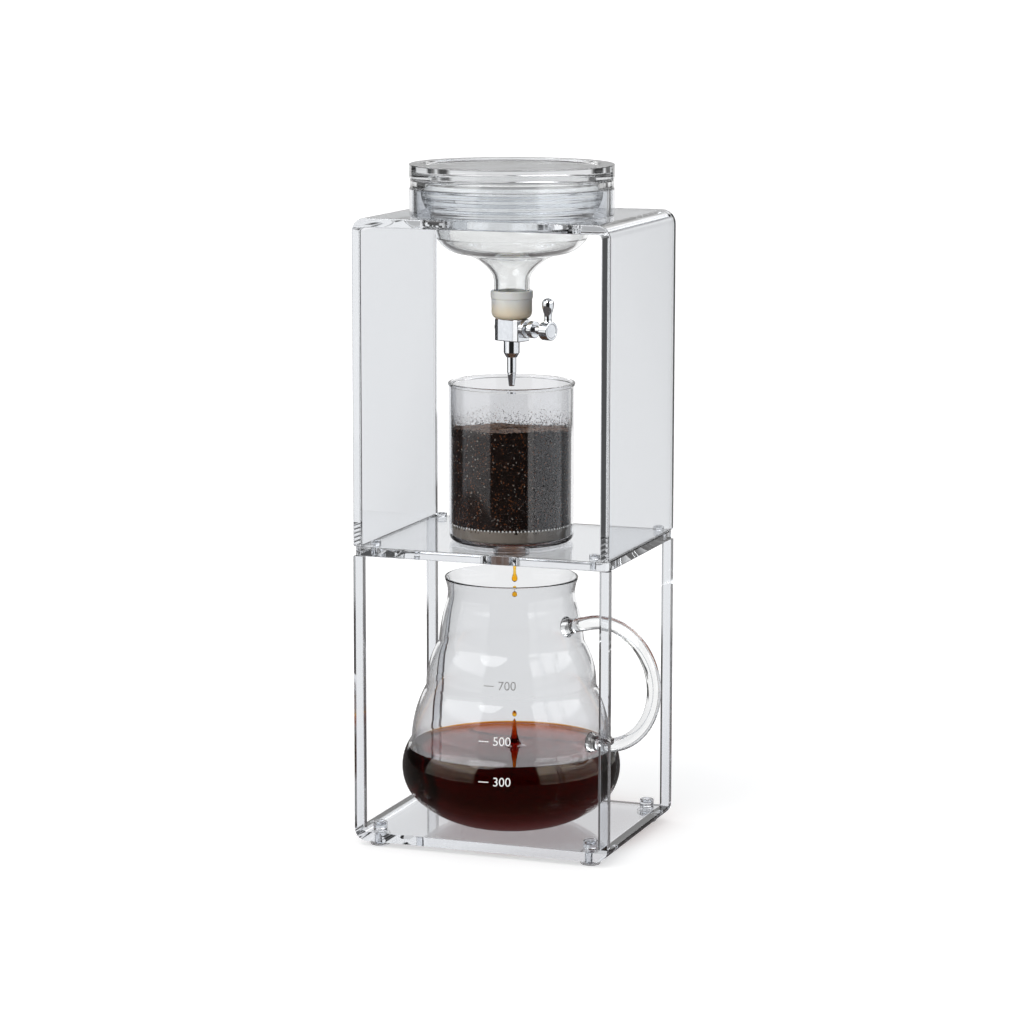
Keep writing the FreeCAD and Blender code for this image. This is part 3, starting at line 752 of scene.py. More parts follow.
def acrylicSheets():
    look = frameLook
    sheet, post, corner = look["sheet"], look["postDepth"], look["shelfCorner"]
    low, high = spanOf("upper_frame")
    outline = bentOutline(high.x, low.z, high.z, look["upperBend"])
    hole = circleOutline(vesselLine.x, vesselLine.y, look["bowlHole"], 180)
    near, far = high.z - 2 * sheet, high.z + sheet
    cutSheet("upperSheet", "upper_frame", outline, 1, hole, 2, near, far)
    low, high = spanOf("lower_frame")
    outline = bentOutline(high.x, high.z, low.z, look["lowerBend"])
    sill = low.z + sheet + look["sill"]
    window = boxOutline(low.y + post, sill, high.y - post, high.z + sheet)
    near, far = low.x - sheet, high.x + sheet
    cutSheet("lowerSheet", "lower_frame", outline, 1, window, 0, near, far)
    low, high = spanOf("shelf")
    spots = boxOutline(low.x, low.y, high.x, high.y)
    outline = roundOff([(x, y, corner) for x, y in spots], 10)
    hole = circleOutline(vesselLine.x, vesselLine.y, look["spoutHole"], 96)
    cutSheet("shelfSheet", "shelf", outline, 2, hole, 2, low.z - 1, high.z + 1)


acrylicSheets()
print("acrylic sheets ready")

# feet, screws and studs

fastenerLook = {
    "footRadius": 6.4,
    "footFloor": 1.0,
    "softEdge": 0.7,
    "gap": 0.05,
    # radius of the head and the shank, then radius, depth and sides of the socket
    "screw": (4.5, 2.5, 2.5, 2.6, 6),
    "stud": (3.4, 2.0, 1.5, 1.2, 24),
}


def fourTurned(name, node, radius, outline):
    # the same turned piece at the four corners of a node, with their centres
    low, high = spanOf(node)
    xs, ys = (low.x + radius, high.x - radius), (low.y + radius, high.y - radius)
    centres = [Vector((x, y, 0)) for x in xs for y in ys]
    mesh = bmesh.new()
    for centre in centres:
        lathe(mesh, outline, centre, 48)
    return objectFrom(name, mesh), centres


def feet():
    radius, edge = fastenerLook["footRadius"], fastenerLook["softEdge"]
    low, high = spanOf("feet")
    shank, floor = fastenerLook["screw"][1], fastenerLook["footFloor"]
    spots = [(0, low.z, 0), (radius, low.z, 1.0), (radius, high.z, edge)]
    spots += [(shank, high.z, 0.1), (shank, low.z + floor, 0.1), (0, low.z + floor, 0)]
    made = fourTurned("softFeet", "feet", radius, roundOff(spots))[0]
    dress(made, softClear, "frame", ["feet"])


def pins(name, node, surface, look):
    # four round-headed pins that stand on a surface, with a socket in each head
    head, shank, socket, depth, sides = look
    low, high = spanOf(node)
    seat, edge = surface + fastenerLook["gap"], fastenerLook["softEdge"]
    spots = [(0, low.z, 0), (shank, low.z, 0.2), (shank, seat, 0.1)]
    spots += [(head, seat, edge / 2), (head, high.z, edge), (0, high.z, 0)]
    made, centres = fourTurned(name, node, head, roundOff(spots))
    sockets = bmesh.new()
    for centre in centres:
        ring = circleOutline(centre.x, centre.y, socket, sides)
        prism(sockets, ring, high.z - depth, high.z + 1, 2)
    cutOut(made, sockets)
    dress(made, mouldedClear, "frame", [node])


feet()
plateTop = spanOf("lower_frame")[0].z + frameLook["sheet"]
pins("baseScrews", "base_screws", plateTop, fastenerLook["screw"])
pins("shelfStuds", "shelf_studs", spanOf("shelf")[1].z, fastenerLook["stud"])
print("feet and fasteners ready")

# ring, bowl and lid

ringLook = {"inner": 60.0, "edge": 1.0}
bowlLook = {
    "wall": 2.6,
    "flangeHeight": 5.5,
    "flangeEdge": 1.3,
    "ribs": 4,
    "ribDepth": 0.45,
    "ribTop": -0.5,
    "ribBottom": -17.5,
    "lipHeight": 9,
    "lipEdge": 0.5,
    # outer face as (radius, height) from the flange's underside, in arcs
    "face": [(57.5, 0.0), (55.7, -10.5), (51.2, -17.0), (49.8, -24.0), (47.6, -32.0)]
    + [(41.6, -38.4), (31.9, -41.8), (19.5, -47.2), (12.4, -54.8), (11.7, -57.5), (11.4, -61.5)],
}
lidLook = {"edge": 0.5, "recess": 1.2, "recessRadius": 57.5, "plug": 53.0, "plugDepth": 3.5}


def ribbed(path, under):
    # shallow level ribs pressed into the upper wall
    look = bowlLook
    shaped = []
    for across, up in path:
        along = (up - under - look["ribBottom"]) / (look["ribTop"] - look["ribBottom"])
        if 0 < along < 1:
            swell = 0.5 - 0.5 * math.cos(circle * look["ribs"] * along)
            across -= look["ribDepth"] * swell
        shaped.append((across, up))
    return shaped


def bowlRing():
    radius, bottom, top = roundSpan("bowl_ring")
    edge, inner = ringLook["edge"], ringLook["inner"]
    spots = [(inner, bottom, edge / 2), (radius, bottom, edge / 2)]
    outline = roundOff(spots + [(radius, top, edge), (inner, top, edge)])
    turnedPiece("bowlRing", outline, clearAcrylic, "frame", "bowl_ring", 240)


def glassBowl():
    look = bowlLook
    radius, end, top = roundSpan("glass_bowl")
    under, edge = top - look["flangeHeight"], look["flangeEdge"]
    face = arcChain([(r, h + under) for r, h in look["face"]], 28)
    inner = ribbed(inward(face, look["wall"]), under)
    neck, throat = face[-1][0], inner[-1][0]
    rim = [(inner[0][0], top - edge, 0.01), (inner[0][0] + edge, top, edge / 2)]
    rim += [(radius, top, edge), (radius, under, edge / 2), (face[0][0], under, 0.01)]
    high, soft = end + look["lipHeight"], look["lipEdge"]
    lip = roundOff([(neck, end, soft), (throat, end, soft), (throat, high, 0), (neck, high, 0)])
    outline = roundOff(rim)[:-1] + face + lip[:-2] + inner[::-1]
    turnedPiece("glassBowl", outline, pressedGlass, "bowl", "glass_bowl", 240)


def bowlLid():
    look = lidLook
    radius, bottom, top = roundSpan("bowl_lid")
    under, edge, recess = bottom + look["plugDepth"], look["edge"], look["recess"]
    plug, inner = look["plug"], look["recessRadius"]
    spots = [(0, bottom, 0), (plug, bottom, 0.6), (plug, under, 0.4), (radius, under, edge)]
    spots += [(radius, top, edge), (inner, top, recess), (inner - recess, top - recess, recess)]
    outline = roundOff(spots + [(0, top - recess, 0)])
    turnedPiece("bowlLid", outline, clearLid, "lid", "bowl_lid", 240)


bowlRing()
glassBowl()
bowlLid()
print("ring, bowl and lid ready")

# silicone joint, tap and nozzle

jointLook = {
    "corner": 4.2,
    "inset": 0.5,
    "lipLow": 5.5,
    "lipHigh": 4.6,
    "lip": 0.8,
    "neckBore": 11.45,
    "floor": 4.2,
    "bore": 3.6,
}
tapLook = {
    "level": 330.0,
    "turn": -20.0,
    "edge": 0.6,
    "facet": (3.5, 0.8),
    "bore": 3.65,
    "halfWidth": 6.5,
    "tail": 9.5,
    "nose": 10.0,
    "deeper": 1.6,
    "stem": 2.8,
    # start, end and radius along the tap
    "nut": (8.0, 13.2, 5.8),
    "collar": (15.6, 19.6, 5.4),
    "hub": (25.2, 32.8, 6.0),
    # radius, depth and inset
    "cap": (4.4, 0.8, 0.3),
    # radius, near end and far end behind the block
    "washer": (4.2, 0.05, 0.8),
    "screw": (3.2, 0.8, 2.6),
    "leverAt": 29.6,
    "leverTip": 20.9,
    "bulb": 3.9,
    "bulbAt": 16.4,
    "waist": 2.4,
    "foot": 3.0,
}
tapTurn = Matrix.Rotation(math.radians(tapLook["turn"]), 4, "Z")
tapPlace = Matrix.Translation(vesselLine + Vector((0, 0, tapLook["level"]))) @ tapTurn
alongTap = tapPlace @ Matrix.Rotation(math.radians(90), 4, "Y")
nozzleLook = {
    "bore": 1.4,
    "tipBore": 0.8,
    "coneEnd": 3.5,
    "coneHigh": 2.8,
    "shoulder": 0.8,
    "tipWaist": 1.9,
    "tipEnd": 1.6,
}


def siliconeJoint():
    look = jointLook
    radius, bottom, top = roundSpan("neck_joint")
    waist, floor = radius - look["inset"], bottom + look["floor"]
    spots = [(look["bore"], bottom, 0), (waist, bottom, look["corner"])]
    spots += [(waist, top - look["lipLow"], 1.0), (radius, top - look["lipHigh"], 0.8)]
    spots += [(radius, top, look["lip"]), (look["neckBore"], top, 0.3)]
    outline = roundOff(spots + [(look["neckBore"], floor, 0.3), (look["bore"], floor, 0)])
    turnedPiece("siliconeJoint", outline, milkySilicone, "bowl", "neck_joint", 96)


def tapPiece(name, outline, body, node):
    # a turned piece that lies along the tap
    mesh = turned(outline, Vector((0, 0, 0)), 64)
    bmesh.ops.transform(mesh, matrix=alongTap, verts=mesh.verts)
    dress(objectFrom(name, mesh), chrome, body, [node])


def tapBlock():
    look = tapLook
    low, high = spanOf("tap_body")
    half, tail, nose = look["halfWidth"], look["tail"], look["nose"]
    run, step = look["facet"]
    outline = [(-tail, step - half), (run - tail, -half), (nose - run, -half), (nose, step - half)]
    outline += [(x, -y) for x, y in outline[::-1]]
    bottom, top = low.z - look["deeper"] - look["level"], high.z - look["level"]
    made = objectFrom("tapBlock", pushed(outline, bottom, top, 2))
    cutOut(made, pushed(circleOutline(0, 0, look["bore"], 48), -2 * tail, 2 * tail, 0))
    softenEdges(made, look["edge"])
    made.data.transform(tapPlace)
    dress(made, chrome, "bowl", ["tap_body"], 10)


def ringAlong(span, bore, edge):
    # outline of a ring between two places along the tap
    start, end, radius = span
    spots = [(bore, start, 0), (radius, start, edge), (radius, end, edge), (bore, end, 0)]
    return roundOff(spots, 3)


def tapFittings():
    look = tapLook
    edge, stem = look["edge"], look["stem"]
    tapPiece("packingNut", ringAlong(look["nut"], stem + 0.05, edge), "bowl", "packing_nut")
    tapPiece("lockCollar", ringAlong(look["collar"], stem, edge), "tap_handle", "lock_collar")
    start, end, radius = look["hub"]
    capRadius, capDepth, capInset = look["cap"]
    face, seat = end - capInset, end - capDepth
    hub = [(0, start, 0), (stem + edge, start, 0.4), (radius, start + 2 * edge, 0.8)]
    hub += [(radius, end, edge), (capRadius, end, 0.2), (capRadius, seat, 0.1), (0, seat, 0)]
    tapPiece("handleHub", roundOff(hub, 4), "tap_handle", "handle_hub")
    cap = [(0, seat, 0), (capRadius, seat, 0), (capRadius, face, 0.3), (0, face, 0)]
    tapPiece("hubCap", roundOff(cap), "tap_handle", "hub_cap")
    tail = -look["tail"]
    radius, near, far = look["washer"]
    washer = ringAlong((tail - far, tail - near, radius), 1.55, 0.2)
    tapPiece("tailWasher", washer, "tap_handle", "tail_washer")
    radius, near, far = look["screw"]
    screw = [(0, tail - far, 0), (radius, tail - far, 0.8), (radius, tail - near, 0.2)]
    tapPiece("tailScrew", roundOff(screw + [(0, tail - near, 0)]), "tap_handle", "tail_screw")


def smoothRun(spots, steps=12):
    # a flowing line through the spots, each with a slope, by cubic pieces
    path = [spots[0][:2]]
    for (ax, ay, aslope), (bx, by, bslope) in zip(spots, spots[1:]):
        for i in range(1, steps + 1):
            part = i / steps
            rise = by - ay
            keep, reach = 2 * part**3 - 3 * part**2 + 1, 3 * part**2 - 2 * part**3
            leave, arrive = part**3 - 2 * part**2 + part, part**3 - part**2
            across = keep * ax + reach * bx + (leave * aslope + arrive * bslope) * rise
            path.append((across, ay + rise * part))
    return path


def tapLever():
    look = tapLook
    start = look["hub"][2] - look["edge"]
    tip, centre, bulb = look["leverTip"], look["bulbAt"], look["bulb"]
    spots = [(look["foot"], start, -0.5), (look["waist"], start + 3.4, 0), (bulb, centre, 0)]
    crown = arcThrough((bulb, centre), (bulb * 0.74, centre + (tip - centre) * 0.7), (0, tip))
    foot = vesselLine + Vector((0, 0, look["level"])) + tapTurn @ Vector((look["leverAt"], 0, 0))
    mesh = turned([(0, start)] + smoothRun(spots) + crown, foot, 64)
    dress(objectFrom("tapLever", mesh), chrome, "tap_handle", ["tap_lever"])


def nozzle():
    # collar, pipe and tip, each from its top down
    look = nozzleLook
    bore, tipBore = look["bore"], look["tipBore"]
    radius, bottom, top = roundSpan("nozzle_collar")
    collar = [(bore, top, 0), (radius, top, 0.2), (radius, bottom + look["coneHigh"], 0.5)]
    collar += [(look["coneEnd"], bottom, 0.2), (bore, bottom, 0)]
    radius, end, _ = roundSpan("drip_nozzle")
    pipe = [(bore, bottom, 0), (radius, bottom, 0.1), (radius, end, 0.5), (bore, end, 0)]
    radius, end, top = roundSpan("drip_tip")
    tip = [(tipBore, top, 0), (radius, top, 0.2), (radius, top - look["shoulder"], 0.3)]
    tip += [(look["tipWaist"], end + 0.6, 0.4), (look["tipEnd"], end, 0.3), (tipBore, end, 0)]
    rows = [("nozzleCollar", collar, "nozzle_collar"), ("dripNozzle", pipe, "drip_nozzle")]
    for name, spots, node in rows + [("dripTip", tip, "drip_tip")]:
        turnedPiece(name, roundOff(spots), chrome, "bowl", node, 64)


siliconeJoint()
tapBlock()
tapFittings()
tapLever()
nozzle()
for node in ("tap_plug", "inlet_spigot"):
    coat(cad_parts[node], chrome)
print("tap ready")

# filter glass and what it holds

filterLook = {
    "wall": 1.5,
    "base": 2.1,
    "corner": 4.2,
    "bead": 0.8,
    "spout": 11.5,
    "spoutBore": 9.0,
    "standing": 3.0,
}
stitchLook = {
    "bandTop": 205.0,
    "proud": 0.7,
    "wall": 2.0,
    "pitch": 2.35,
    "size": 0.95,
    "shape": (0.45, 0.72, 0.85),
    "light": colour(0.97, 0.97, 0.95),
    "dark": colour(0.85, 0.84, 0.8),
    # painted shine: an emission colour that stands in for light falling on the stitches
    "paintedShine": colour(1, 1, 0.98),
    "paintedGlow": 0.35,
    "wearScale": 1500.0,
}
grains = random.Random(7)


def filterGlass():
    look = filterLook
    radius, spoutEnd, rim = roundSpan("filter_glass")
    bead, bore, spout = look["bead"], look["spoutBore"], look["spout"]
    outer = radius - bead
    inner = outer - look["wall"]
    stand = spanOf("filter_band")[0].z - look["standing"]
    floor = stand + look["base"]
    corner = look["corner"]
    spots = [(bore, spoutEnd, 0.8), (spout, spoutEnd, 0.8), (spout, stand, 1.2)]
    spots += [(outer, stand, corner), (outer, rim - 3.2 * bead, 1.0)]
    spots += [(radius, rim - 2.2 * bead, 0.8), (radius, rim, 1.2), (inner, rim, 1.2)]
    outline = roundOff(spots + [(inner, floor, corner - look["wall"]), (bore, floor, 1.0)], 7)
    turnedPiece("filterGlass", outline, filterClear, "filter", "filter_glass", 200)
    return inner, floor


def threadFinish():
    look = stitchLook
    finish = newFinish("paleThread")
    wear = finish.noise(finish.place(), look["wearScale"], 3)
    sockets = {
        "Base Color": finish.blend(wear, look["light"], look["dark"]),
        "Roughness": wear * 0.3 + 0.35,
        # painted shine: the emission makes the stitches bright, as if lit from behind
        "Emission Color": look["paintedShine"],
        "Emission Strength": look["paintedGlow"],
    }
    return finish.paint(sockets)


def filterBand(floor):
    look = stitchLook
    radius = roundSpan("filter_band")[0] + look["proud"]
    bottom, top = floor + 0.1, look["bandTop"]
    corner, inner = filterLook["corner"] - filterLook["wall"], radius - look["wall"]
    spots = [(radius - corner - look["wall"], bottom, 0), (radius - 0.2, bottom, corner)]
    spots += [(radius, top, 0.05), (radius - 0.1, top + 0.1, 0.02)]
    outline = roundOff(spots + [(inner, top, 0.3), (inner, bottom + corner, 0.5)])
    turnedPiece("filterBand", outline, filterWeave, "filter", "filter_band")
    places = []
    count = round(circle * radius / look["pitch"])
    size = Matrix.Diagonal([part * look["size"] for part in look["shape"]] + [1.0])
    for i in range(count):
        angle = circle * i / count
        spot = around(angle) * (radius - 0.3)
        place = Matrix.Translation(vesselLine + spot + Vector((0, 0, top + 0.3)))
        places.append(place @ Matrix.Rotation(angle, 4, "Z") @ size)
    mesh = bmesh.new()
    pebbles(mesh, places, 2)
    dress(objectFrom("bandStitches", mesh), threadFinish(), "filter")


heapLook = {
    "proud": 0.75,
    "corner": 0.6,
    "rings": 30,
    "steps": 26,
    "swell": 0.7,
    "tilt": 2.6,
    "sink": 2.4,
    # the side on which the heap is lowest
    "backward": (-0.34, 0.94),
    "crest": 6.0,
    "grainRise": (-0.6, 0.3),
    "grainIn": 0.35,
}


def groundCoffee():
    look = heapLook
    radius, bottom, top = roundSpan("coffee_grounds")
    radius += look["proud"]
    corner, rings, steps = look["corner"], look["rings"], look["steps"]
    outline = [(0, bottom), (radius - corner, bottom), (radius, bottom + corner)]
    outline += [(radius, bottom + (top - bottom) * i / rings) for i in range(1, rings - 1)]
    outline += [(radius * (1 - i / steps), top) for i in range(steps + 1)]
    mesh = turned(outline, turns=220)
    backX, backY = look["backward"]
    for vert in mesh.verts:
        spot = vert.co - vesselLine
        across = math.hypot(spot.x, spot.y)
        if spot.z > bottom + 2:
            heap = look["swell"] * math.sin(spot.x * 0.13 + 1) * math.cos(spot.y * 0.11)
            drop = (spot.z - bottom) / (top - bottom)
            tilt = look["tilt"] * (spot.x * backX + spot.y * backY) / radius + look["sink"]
            vert.co.z += (heap + grains.uniform(*look["grainRise"]) - tilt) * drop**8
        if across >= radius - 0.4:
            shrink = 1 - grains.uniform(0.0, look["grainIn"]) / across
            vert.co.x = vesselLine.x + spot.x * shrink
            vert.co.y = vesselLine.y + spot.y * shrink
    made = objectFrom("groundCoffee", mesh)
    dress(made, wetGrounds, "filter", ["coffee_grounds"], 70)
    return top - look["crest"]


strayLook = {"count": 4200, "mean": 4.2, "rise": 19.0, "small": 0.15, "large": 0.46}
stainAndGlowLook = {
    "radius": 8.85,
    "wall": 0.3,
    "low": 180.2,
    "high": 195.6,
    "dark": colour(0.42, 0.26, 0.19),
    # the light stain colour is lifted, and the shine colours below are a painted glow; both stand
    # in for light in the shaded shelf hole
    "light": colour(0.92, 0.76, 0.66),
    "darkPaintedShine": colour(0.3, 0.14, 0.08),
    "lightPaintedShine": colour(0.86, 0.66, 0.55),
    "paintedGlow": 0.25,
    "patchScale": 420.0,
    "patchBand": (0.25, 0.6),
    "fineScale": 1400.0,
}


def stainAndGlowFinish():
    look = stainAndGlowLook
    finish = newFinish("brewStainAndGlow")
    place = finish.place()
    patch = finish.noise(place, look["patchScale"], 6, 0.7)
    fine = finish.noise(place, look["fineScale"], 4)
    sockets = {
        "Base Color": finish.blend(fine, look["dark"], look["light"]),
        # painted glow: emission that stands in for light on the stain inside the shaded hole
        "Emission Color": finish.blend(fine, look["darkPaintedShine"], look["lightPaintedShine"]),
        "Emission Strength": look["paintedGlow"],
        "Roughness": fine * 0.3 + 0.4,
        "Alpha": finish.band(patch, *look["patchBand"]) * 0.5 + 0.5,
    }
    return finish.paint(sockets)


def spoutStainAndGlow():
    # what the coffee leaves inside the glass spout: a real stain, with painted glow that lifts it
    # out of the shade in the shelf hole
    look = stainAndGlowLook
    far = look["radius"]
    mesh = turned(boxOutline(far - look["wall"], look["low"], far, look["high"]), turns=64)
    dress(objectFrom("spoutStainAndGlow", mesh), stainAndGlowFinish(), "filter")


def strayGrains(inner, level):
    # single grains that cling to the glass above the heap
    look = strayLook
    places = []
    for _ in range(look["count"]):
        height = min(grains.expovariate(1 / look["mean"]), look["rise"])
        angle = grains.uniform(0, circle)
        size = grains.uniform(look["small"], look["large"]) * (1 - 0.5 * height / look["rise"])
        spot = around(angle) * (inner - size * 0.8)
        place = Matrix.Translation(vesselLine + spot + Vector((0, 0, level + height)))
        lean = Vector((1, grains.random(), 0.3)).normalized()
        turn = Matrix.Rotation(grains.uniform(0, 3), 4, lean)
        flat = Matrix.Diagonal((1.0, grains.uniform(0.5, 1), grains.uniform(0.5, 1), 1.0))
        places.append(place @ turn @ flat @ Matrix.Diagonal((size, size, size, 1.0)))
    mesh = bmesh.new()
    pebbles(mesh, places)
    dress(objectFrom("strayGrains", mesh), wetGrounds, "filter", sharp=20)


innerRadius, filterFloor = filterGlass()
filterBand(filterFloor)
strayGrains(innerRadius, groundCoffee())
spoutStainAndGlow()
coat(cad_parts["filter_screen"], filterWeave)
print("filter ready")

# carafe, handle and coffee

carafeLook = {
    "wall": 1.5,
    # the glass is thicker towards the foot
    "footMore": 2.6,
    "footIn": 1.5,
    "footReach": 26.0,
    "rimCrown": 1.1,
    # outer face as (radius, height) from the base, in arcs
    "face": [(42.7, 160.0), (40.7, 151.1), (42.2, 142.7), (45.3, 129.0), (46.6, 118.8)]
    + [(52.9, 104.3), (54.6, 89.9), (60.9, 75.0), (64.1, 55.5), (70.2, 36.9)]
    + [(64.2, 19.4), (47.9, 6.9), (25.0, 0.0)],
}
handleLook = {
    "turn": -17.0,
    "rod": 4.5,
    "arc": 39.2,
    "out": 72.2,
    "middle": 109.4,
    "rise": 15.0,
    "flare": 6.7,
    "flareRun": 7.0,
    "flareBend": 2.2,
    "sink": 0.8,
    "search": 26,
    "searchStep": 0.2,
}


def carafeFace():
    bottom = spanOf("carafe")[0].z
    return arcChain([(r, h + bottom) for r, h in carafeLook["face"]], 14)


def wallRadius(face, level):
    # the outer face's radius at a height
    for (lowR, lowZ), (highR, highZ) in zip(face[1:], face):
        if lowZ <= level <= highZ:
            part = (level - lowZ) / max(highZ - lowZ, 1e-6)
            return lowR + (highR - lowR) * part
    return face[0][0]


def innerFace(face, wall):
    look = carafeLook
    path = inward(face, wall)
    bottom = path[-1][1]
    shaped = []
    for across, up in path:
        near = max(1 - (up - bottom) / look["footReach"], 0) ** 2
        shaped.append((max(across - look["footIn"] * near, 0), up + look["footMore"] * near))
    return shaped


def carafeBody(face):
    inner = innerFace(face, carafeLook["wall"])
    crown = ((face[0][0] + inner[0][0]) / 2, face[0][1] + carafeLook["rimCrown"])
    rim = arcThrough(inner[0], crown, face[0], 8)
    floor = [(0, face[-1][1]), (0, inner[-1][1])]
    outline = face + floor + inner[::-1] + rim[:-1]
    turnedPiece("carafeBody", outline, carafeGlass, "server", "carafe", 220)


def carafeHandle(face):
    look = handleLook
    arc, sink = look["arc"], look["sink"]
    middle = Vector((look["out"], 0, look["middle"]))
    rise = Matrix.Rotation(-math.radians(look["rise"]), 3, "Y")
    start = middle + rise @ Vector((0, 0, arc))
    outward = rise @ Vector((1, 0, 0))
    end = middle - Vector((0, 0, arc))
    # the upper end is where the straight run meets the wall
    upper = start - outward * look["search"]
    while upper.x < wallRadius(face, upper.z) - sink:
        upper += outward * look["searchStep"]
    lower = Vector((wallRadius(face, end.z) - sink, 0, end.z))
    bow = arcThrough((start.x, start.z), (middle.x + arc, middle.z), (end.x, end.z), 48)
    path = [upper + (start - upper) * i / 14 for i in range(15)]
    path += [Vector((x, 0, z)) for x, z in bow]
    path += [end + (lower - end) * i / 8 for i in range(1, 9)]
    lengths = [0.0]
    for one, two in zip(path, path[1:]):
        lengths.append(lengths[-1] + (two - one).length)
    sizes = []
    for run in lengths:
        near = 1 - min(run, lengths[-1] - run) / look["flareRun"]
        flare = max(near, 0) ** look["flareBend"]
        sizes.append(look["rod"] + (look["flare"] - look["rod"]) * flare)
    mesh = bmesh.new()
    tube(mesh, path, sizes, 40)
    turn = Matrix.Translation(vesselLine) @ Matrix.Rotation(math.radians(look["turn"]), 4, "Z")
    bmesh.ops.transform(mesh, matrix=turn, verts=mesh.verts)
    made = objectFrom("carafeHandle", mesh)
    dress(made, blownGlass, "server", ["carafe_handle"], 40)


rippleLook = {
    "height": 0.2,
    "length": 11.0,
    "fade": 10.0,
    "steps": 90,
    # how far the coffee climbs the glass, over what reach and in how many steps
    "climb": 0.6,
    "reach": 1.4,
    "climbSteps": 8,
    "into": 0.8,
    "gap": 0.15,
    "turned": 1.2,
}
# a painted glow ring on the coffee's surface by the glass, with its amber and red shades
amberLook = {
    "rise": 1.0,
    "lift": 0.12,
    "reach": 26.0,
    "rings": 6,
    "backward": (-0.34, 0.94, 0),
    "amber": colour(0.9, 0.42, 0.02),
    "redGlow": colour(0.6, 0.11, 0.015),
    "cloudScale": 90.0,
    # metres behind the tower's middle, and the share of the reach where the red of the painted
    # glow begins
    "backLitBand": (0.015, 0.052),
    "redGlowBand": (0.02, 0.24),
    "paintedGlow": 0.45,
    "fade": 1.4,
}


def brewedCoffee(face):
    # the coffee reaches into the glass, so that no bright gap shows around it
    look = rippleLook
    wall, level = carafeLook["wall"], roundSpan("brewed_coffee")[2]
    deep = innerFace(face, wall - look["into"])
    side = [(r, z) for r, z in deep if z < level - look["turned"]]
    edge = wallRadius(inward(face, wall), level) + look["gap"]
    outline = [(0, side[-1][1])] + side[::-1]
    for i in range(look["climbSteps"] + 1):
        part = i / look["climbSteps"]
        outline.append((edge - look["reach"] * part, level + look["climb"] * (1 - part) ** 2.4))
    calm, steps = edge - look["reach"], look["steps"]
    for i in range(1, steps + 1):
        across = calm * (1 - i / steps)
        wave = math.cos(circle * across / look["length"]) * math.exp(-across / look["fade"])
        outline.append((across, level + look["height"] * wave))
    made = objectFrom("brewedCoffee", turned(outline, turns=200))
    dress(made, darkCoffee, "server", ["brewed_coffee"], 60)
    amberGlowEdge(edge, level)


def amberGlowFinish():
    look = amberLook
    finish = newFinish("amberGlowEdge")
    deep = finish.node("ShaderNodeAttribute", {"attribute_name": "inward"}, output="Fac")
    place = finish.place()
    cloud = finish.noise(place, look["cloudScale"], 3)
    # painted backlight: the ring shows more at the back, as if more light came through there
    side = finish.vector("DOT_PRODUCT", {0: place, 1: look["backward"]}, output=1)
    side = finish.band(side, *look["backLitBand"])
    shade = finish.blend(finish.band(deep, *look["redGlowBand"]), look["amber"], look["redGlow"])
    sockets = {
        "Base Color": shade,
        "Roughness": cloud * 0.2 + 0.3,
        "Specular IOR Level": 0.0,
        "Emission Color": shade,
        "Emission Strength": look["paintedGlow"],
        "Alpha": (1 - deep) ** look["fade"] * (cloud * 0.3 + 0.7) * side,
    }
    return finish.paint(sockets)


def amberGlowEdge(edge, level):
    # painted glow: the amber ring stands in for light through the thin coffee that climbs the
    # glass, and fades inwards over the surface
    look = amberLook
    spots = []
    for i in range(look["rings"] + 1):
        part = i / look["rings"]
        height = level + look["rise"] * (1 - part) + look["lift"]
        spots.append((edge - look["reach"] * part, height))
    made = objectFrom("amberGlowEdge", turned(spots, turns=200, closed=False))
    values = made.data.attributes.new("inward", "FLOAT", "POINT").data
    for value, vert in zip(values, made.data.vertices):
        value.value = (edge - (vert.co - vesselLine).xy.length) / look["reach"]
    dress(made, amberGlowFinish(), "server", sharp=60)


face = carafeFace()
carafeBody(face)
carafeHandle(face)
brewedCoffee(face)
print("carafe ready")

# the falling coffee: drops under the spout and the splash where they land

dropLook = {
    "aside": Vector((1.9, 0.7, 0)),
    # radius and height over the lowest point
    "hanging": [(0, 0), (1.2, 0.6), (1.9, 1.9), (1.7, 3.4), (1.1, 5.2), (0.9, 8)]
    + [(1.3, 11.6), (2.2, 13), (0, 13)],
    "hangingLow": 166.5,
    # lowest height, highest height and radius
    "fleck": (162.6, 164.0, 1.3),
    "falling": (157.3, 161.4, 2.0),
    "landing": (78.4, 82.4, 1.75),
    # radius and height over the coffee
    "splash": [(0, -0.6), (9, -0.6), (8.5, 0.1), (5.6, 0.8), (3.8, 2), (2.8, 3.8), (2.1, 6.3)]
    + [(1.6, 9.4), (1.2, 12.4), (0.9, 15), (0.5, 16.6), (0, 17.2)],
}


def smoothSpots(spots, steps=4):
    # a flowing line through the spots; it keeps to the axis where they do
    path = [spots[0]]
    for i in range(len(spots) - 1):
        near = [Vector(spots[min(max(j, 0), len(spots) - 1)]) for j in range(i - 1, i + 3)]
        for step in range(1, steps + 1):
            t = step / steps
            weights = (
                (-t + 2 * t**2 - t**3) / 2,
                (2 - 5 * t**2 + 3 * t**3) / 2,
                (t + 4 * t**2 - 3 * t**3) / 2,
                (t**3 - t**2) / 2,
            )
            spot = sum((spot * weight for spot, weight in zip(near, weights)), Vector((0, 0)))
            path.append((max(spot.x, 0), spot.y))
    path[-1] = spots[-1]
    return path


def dropOutline(low, high, radius, points=16):
    # a drop that is round below and drawn out above
    outline = []
    for i in range(points + 1):
        turn = math.pi * i / points
        reach = (1 - math.cos(turn)) / 2
        width = radius * math.sin(turn) * (1 - reach * 0.5) ** 0.6
        outline.append((width, low + (high - low) * reach))
    outline[0], outline[-1] = (0, low), (0, high)
    return outline


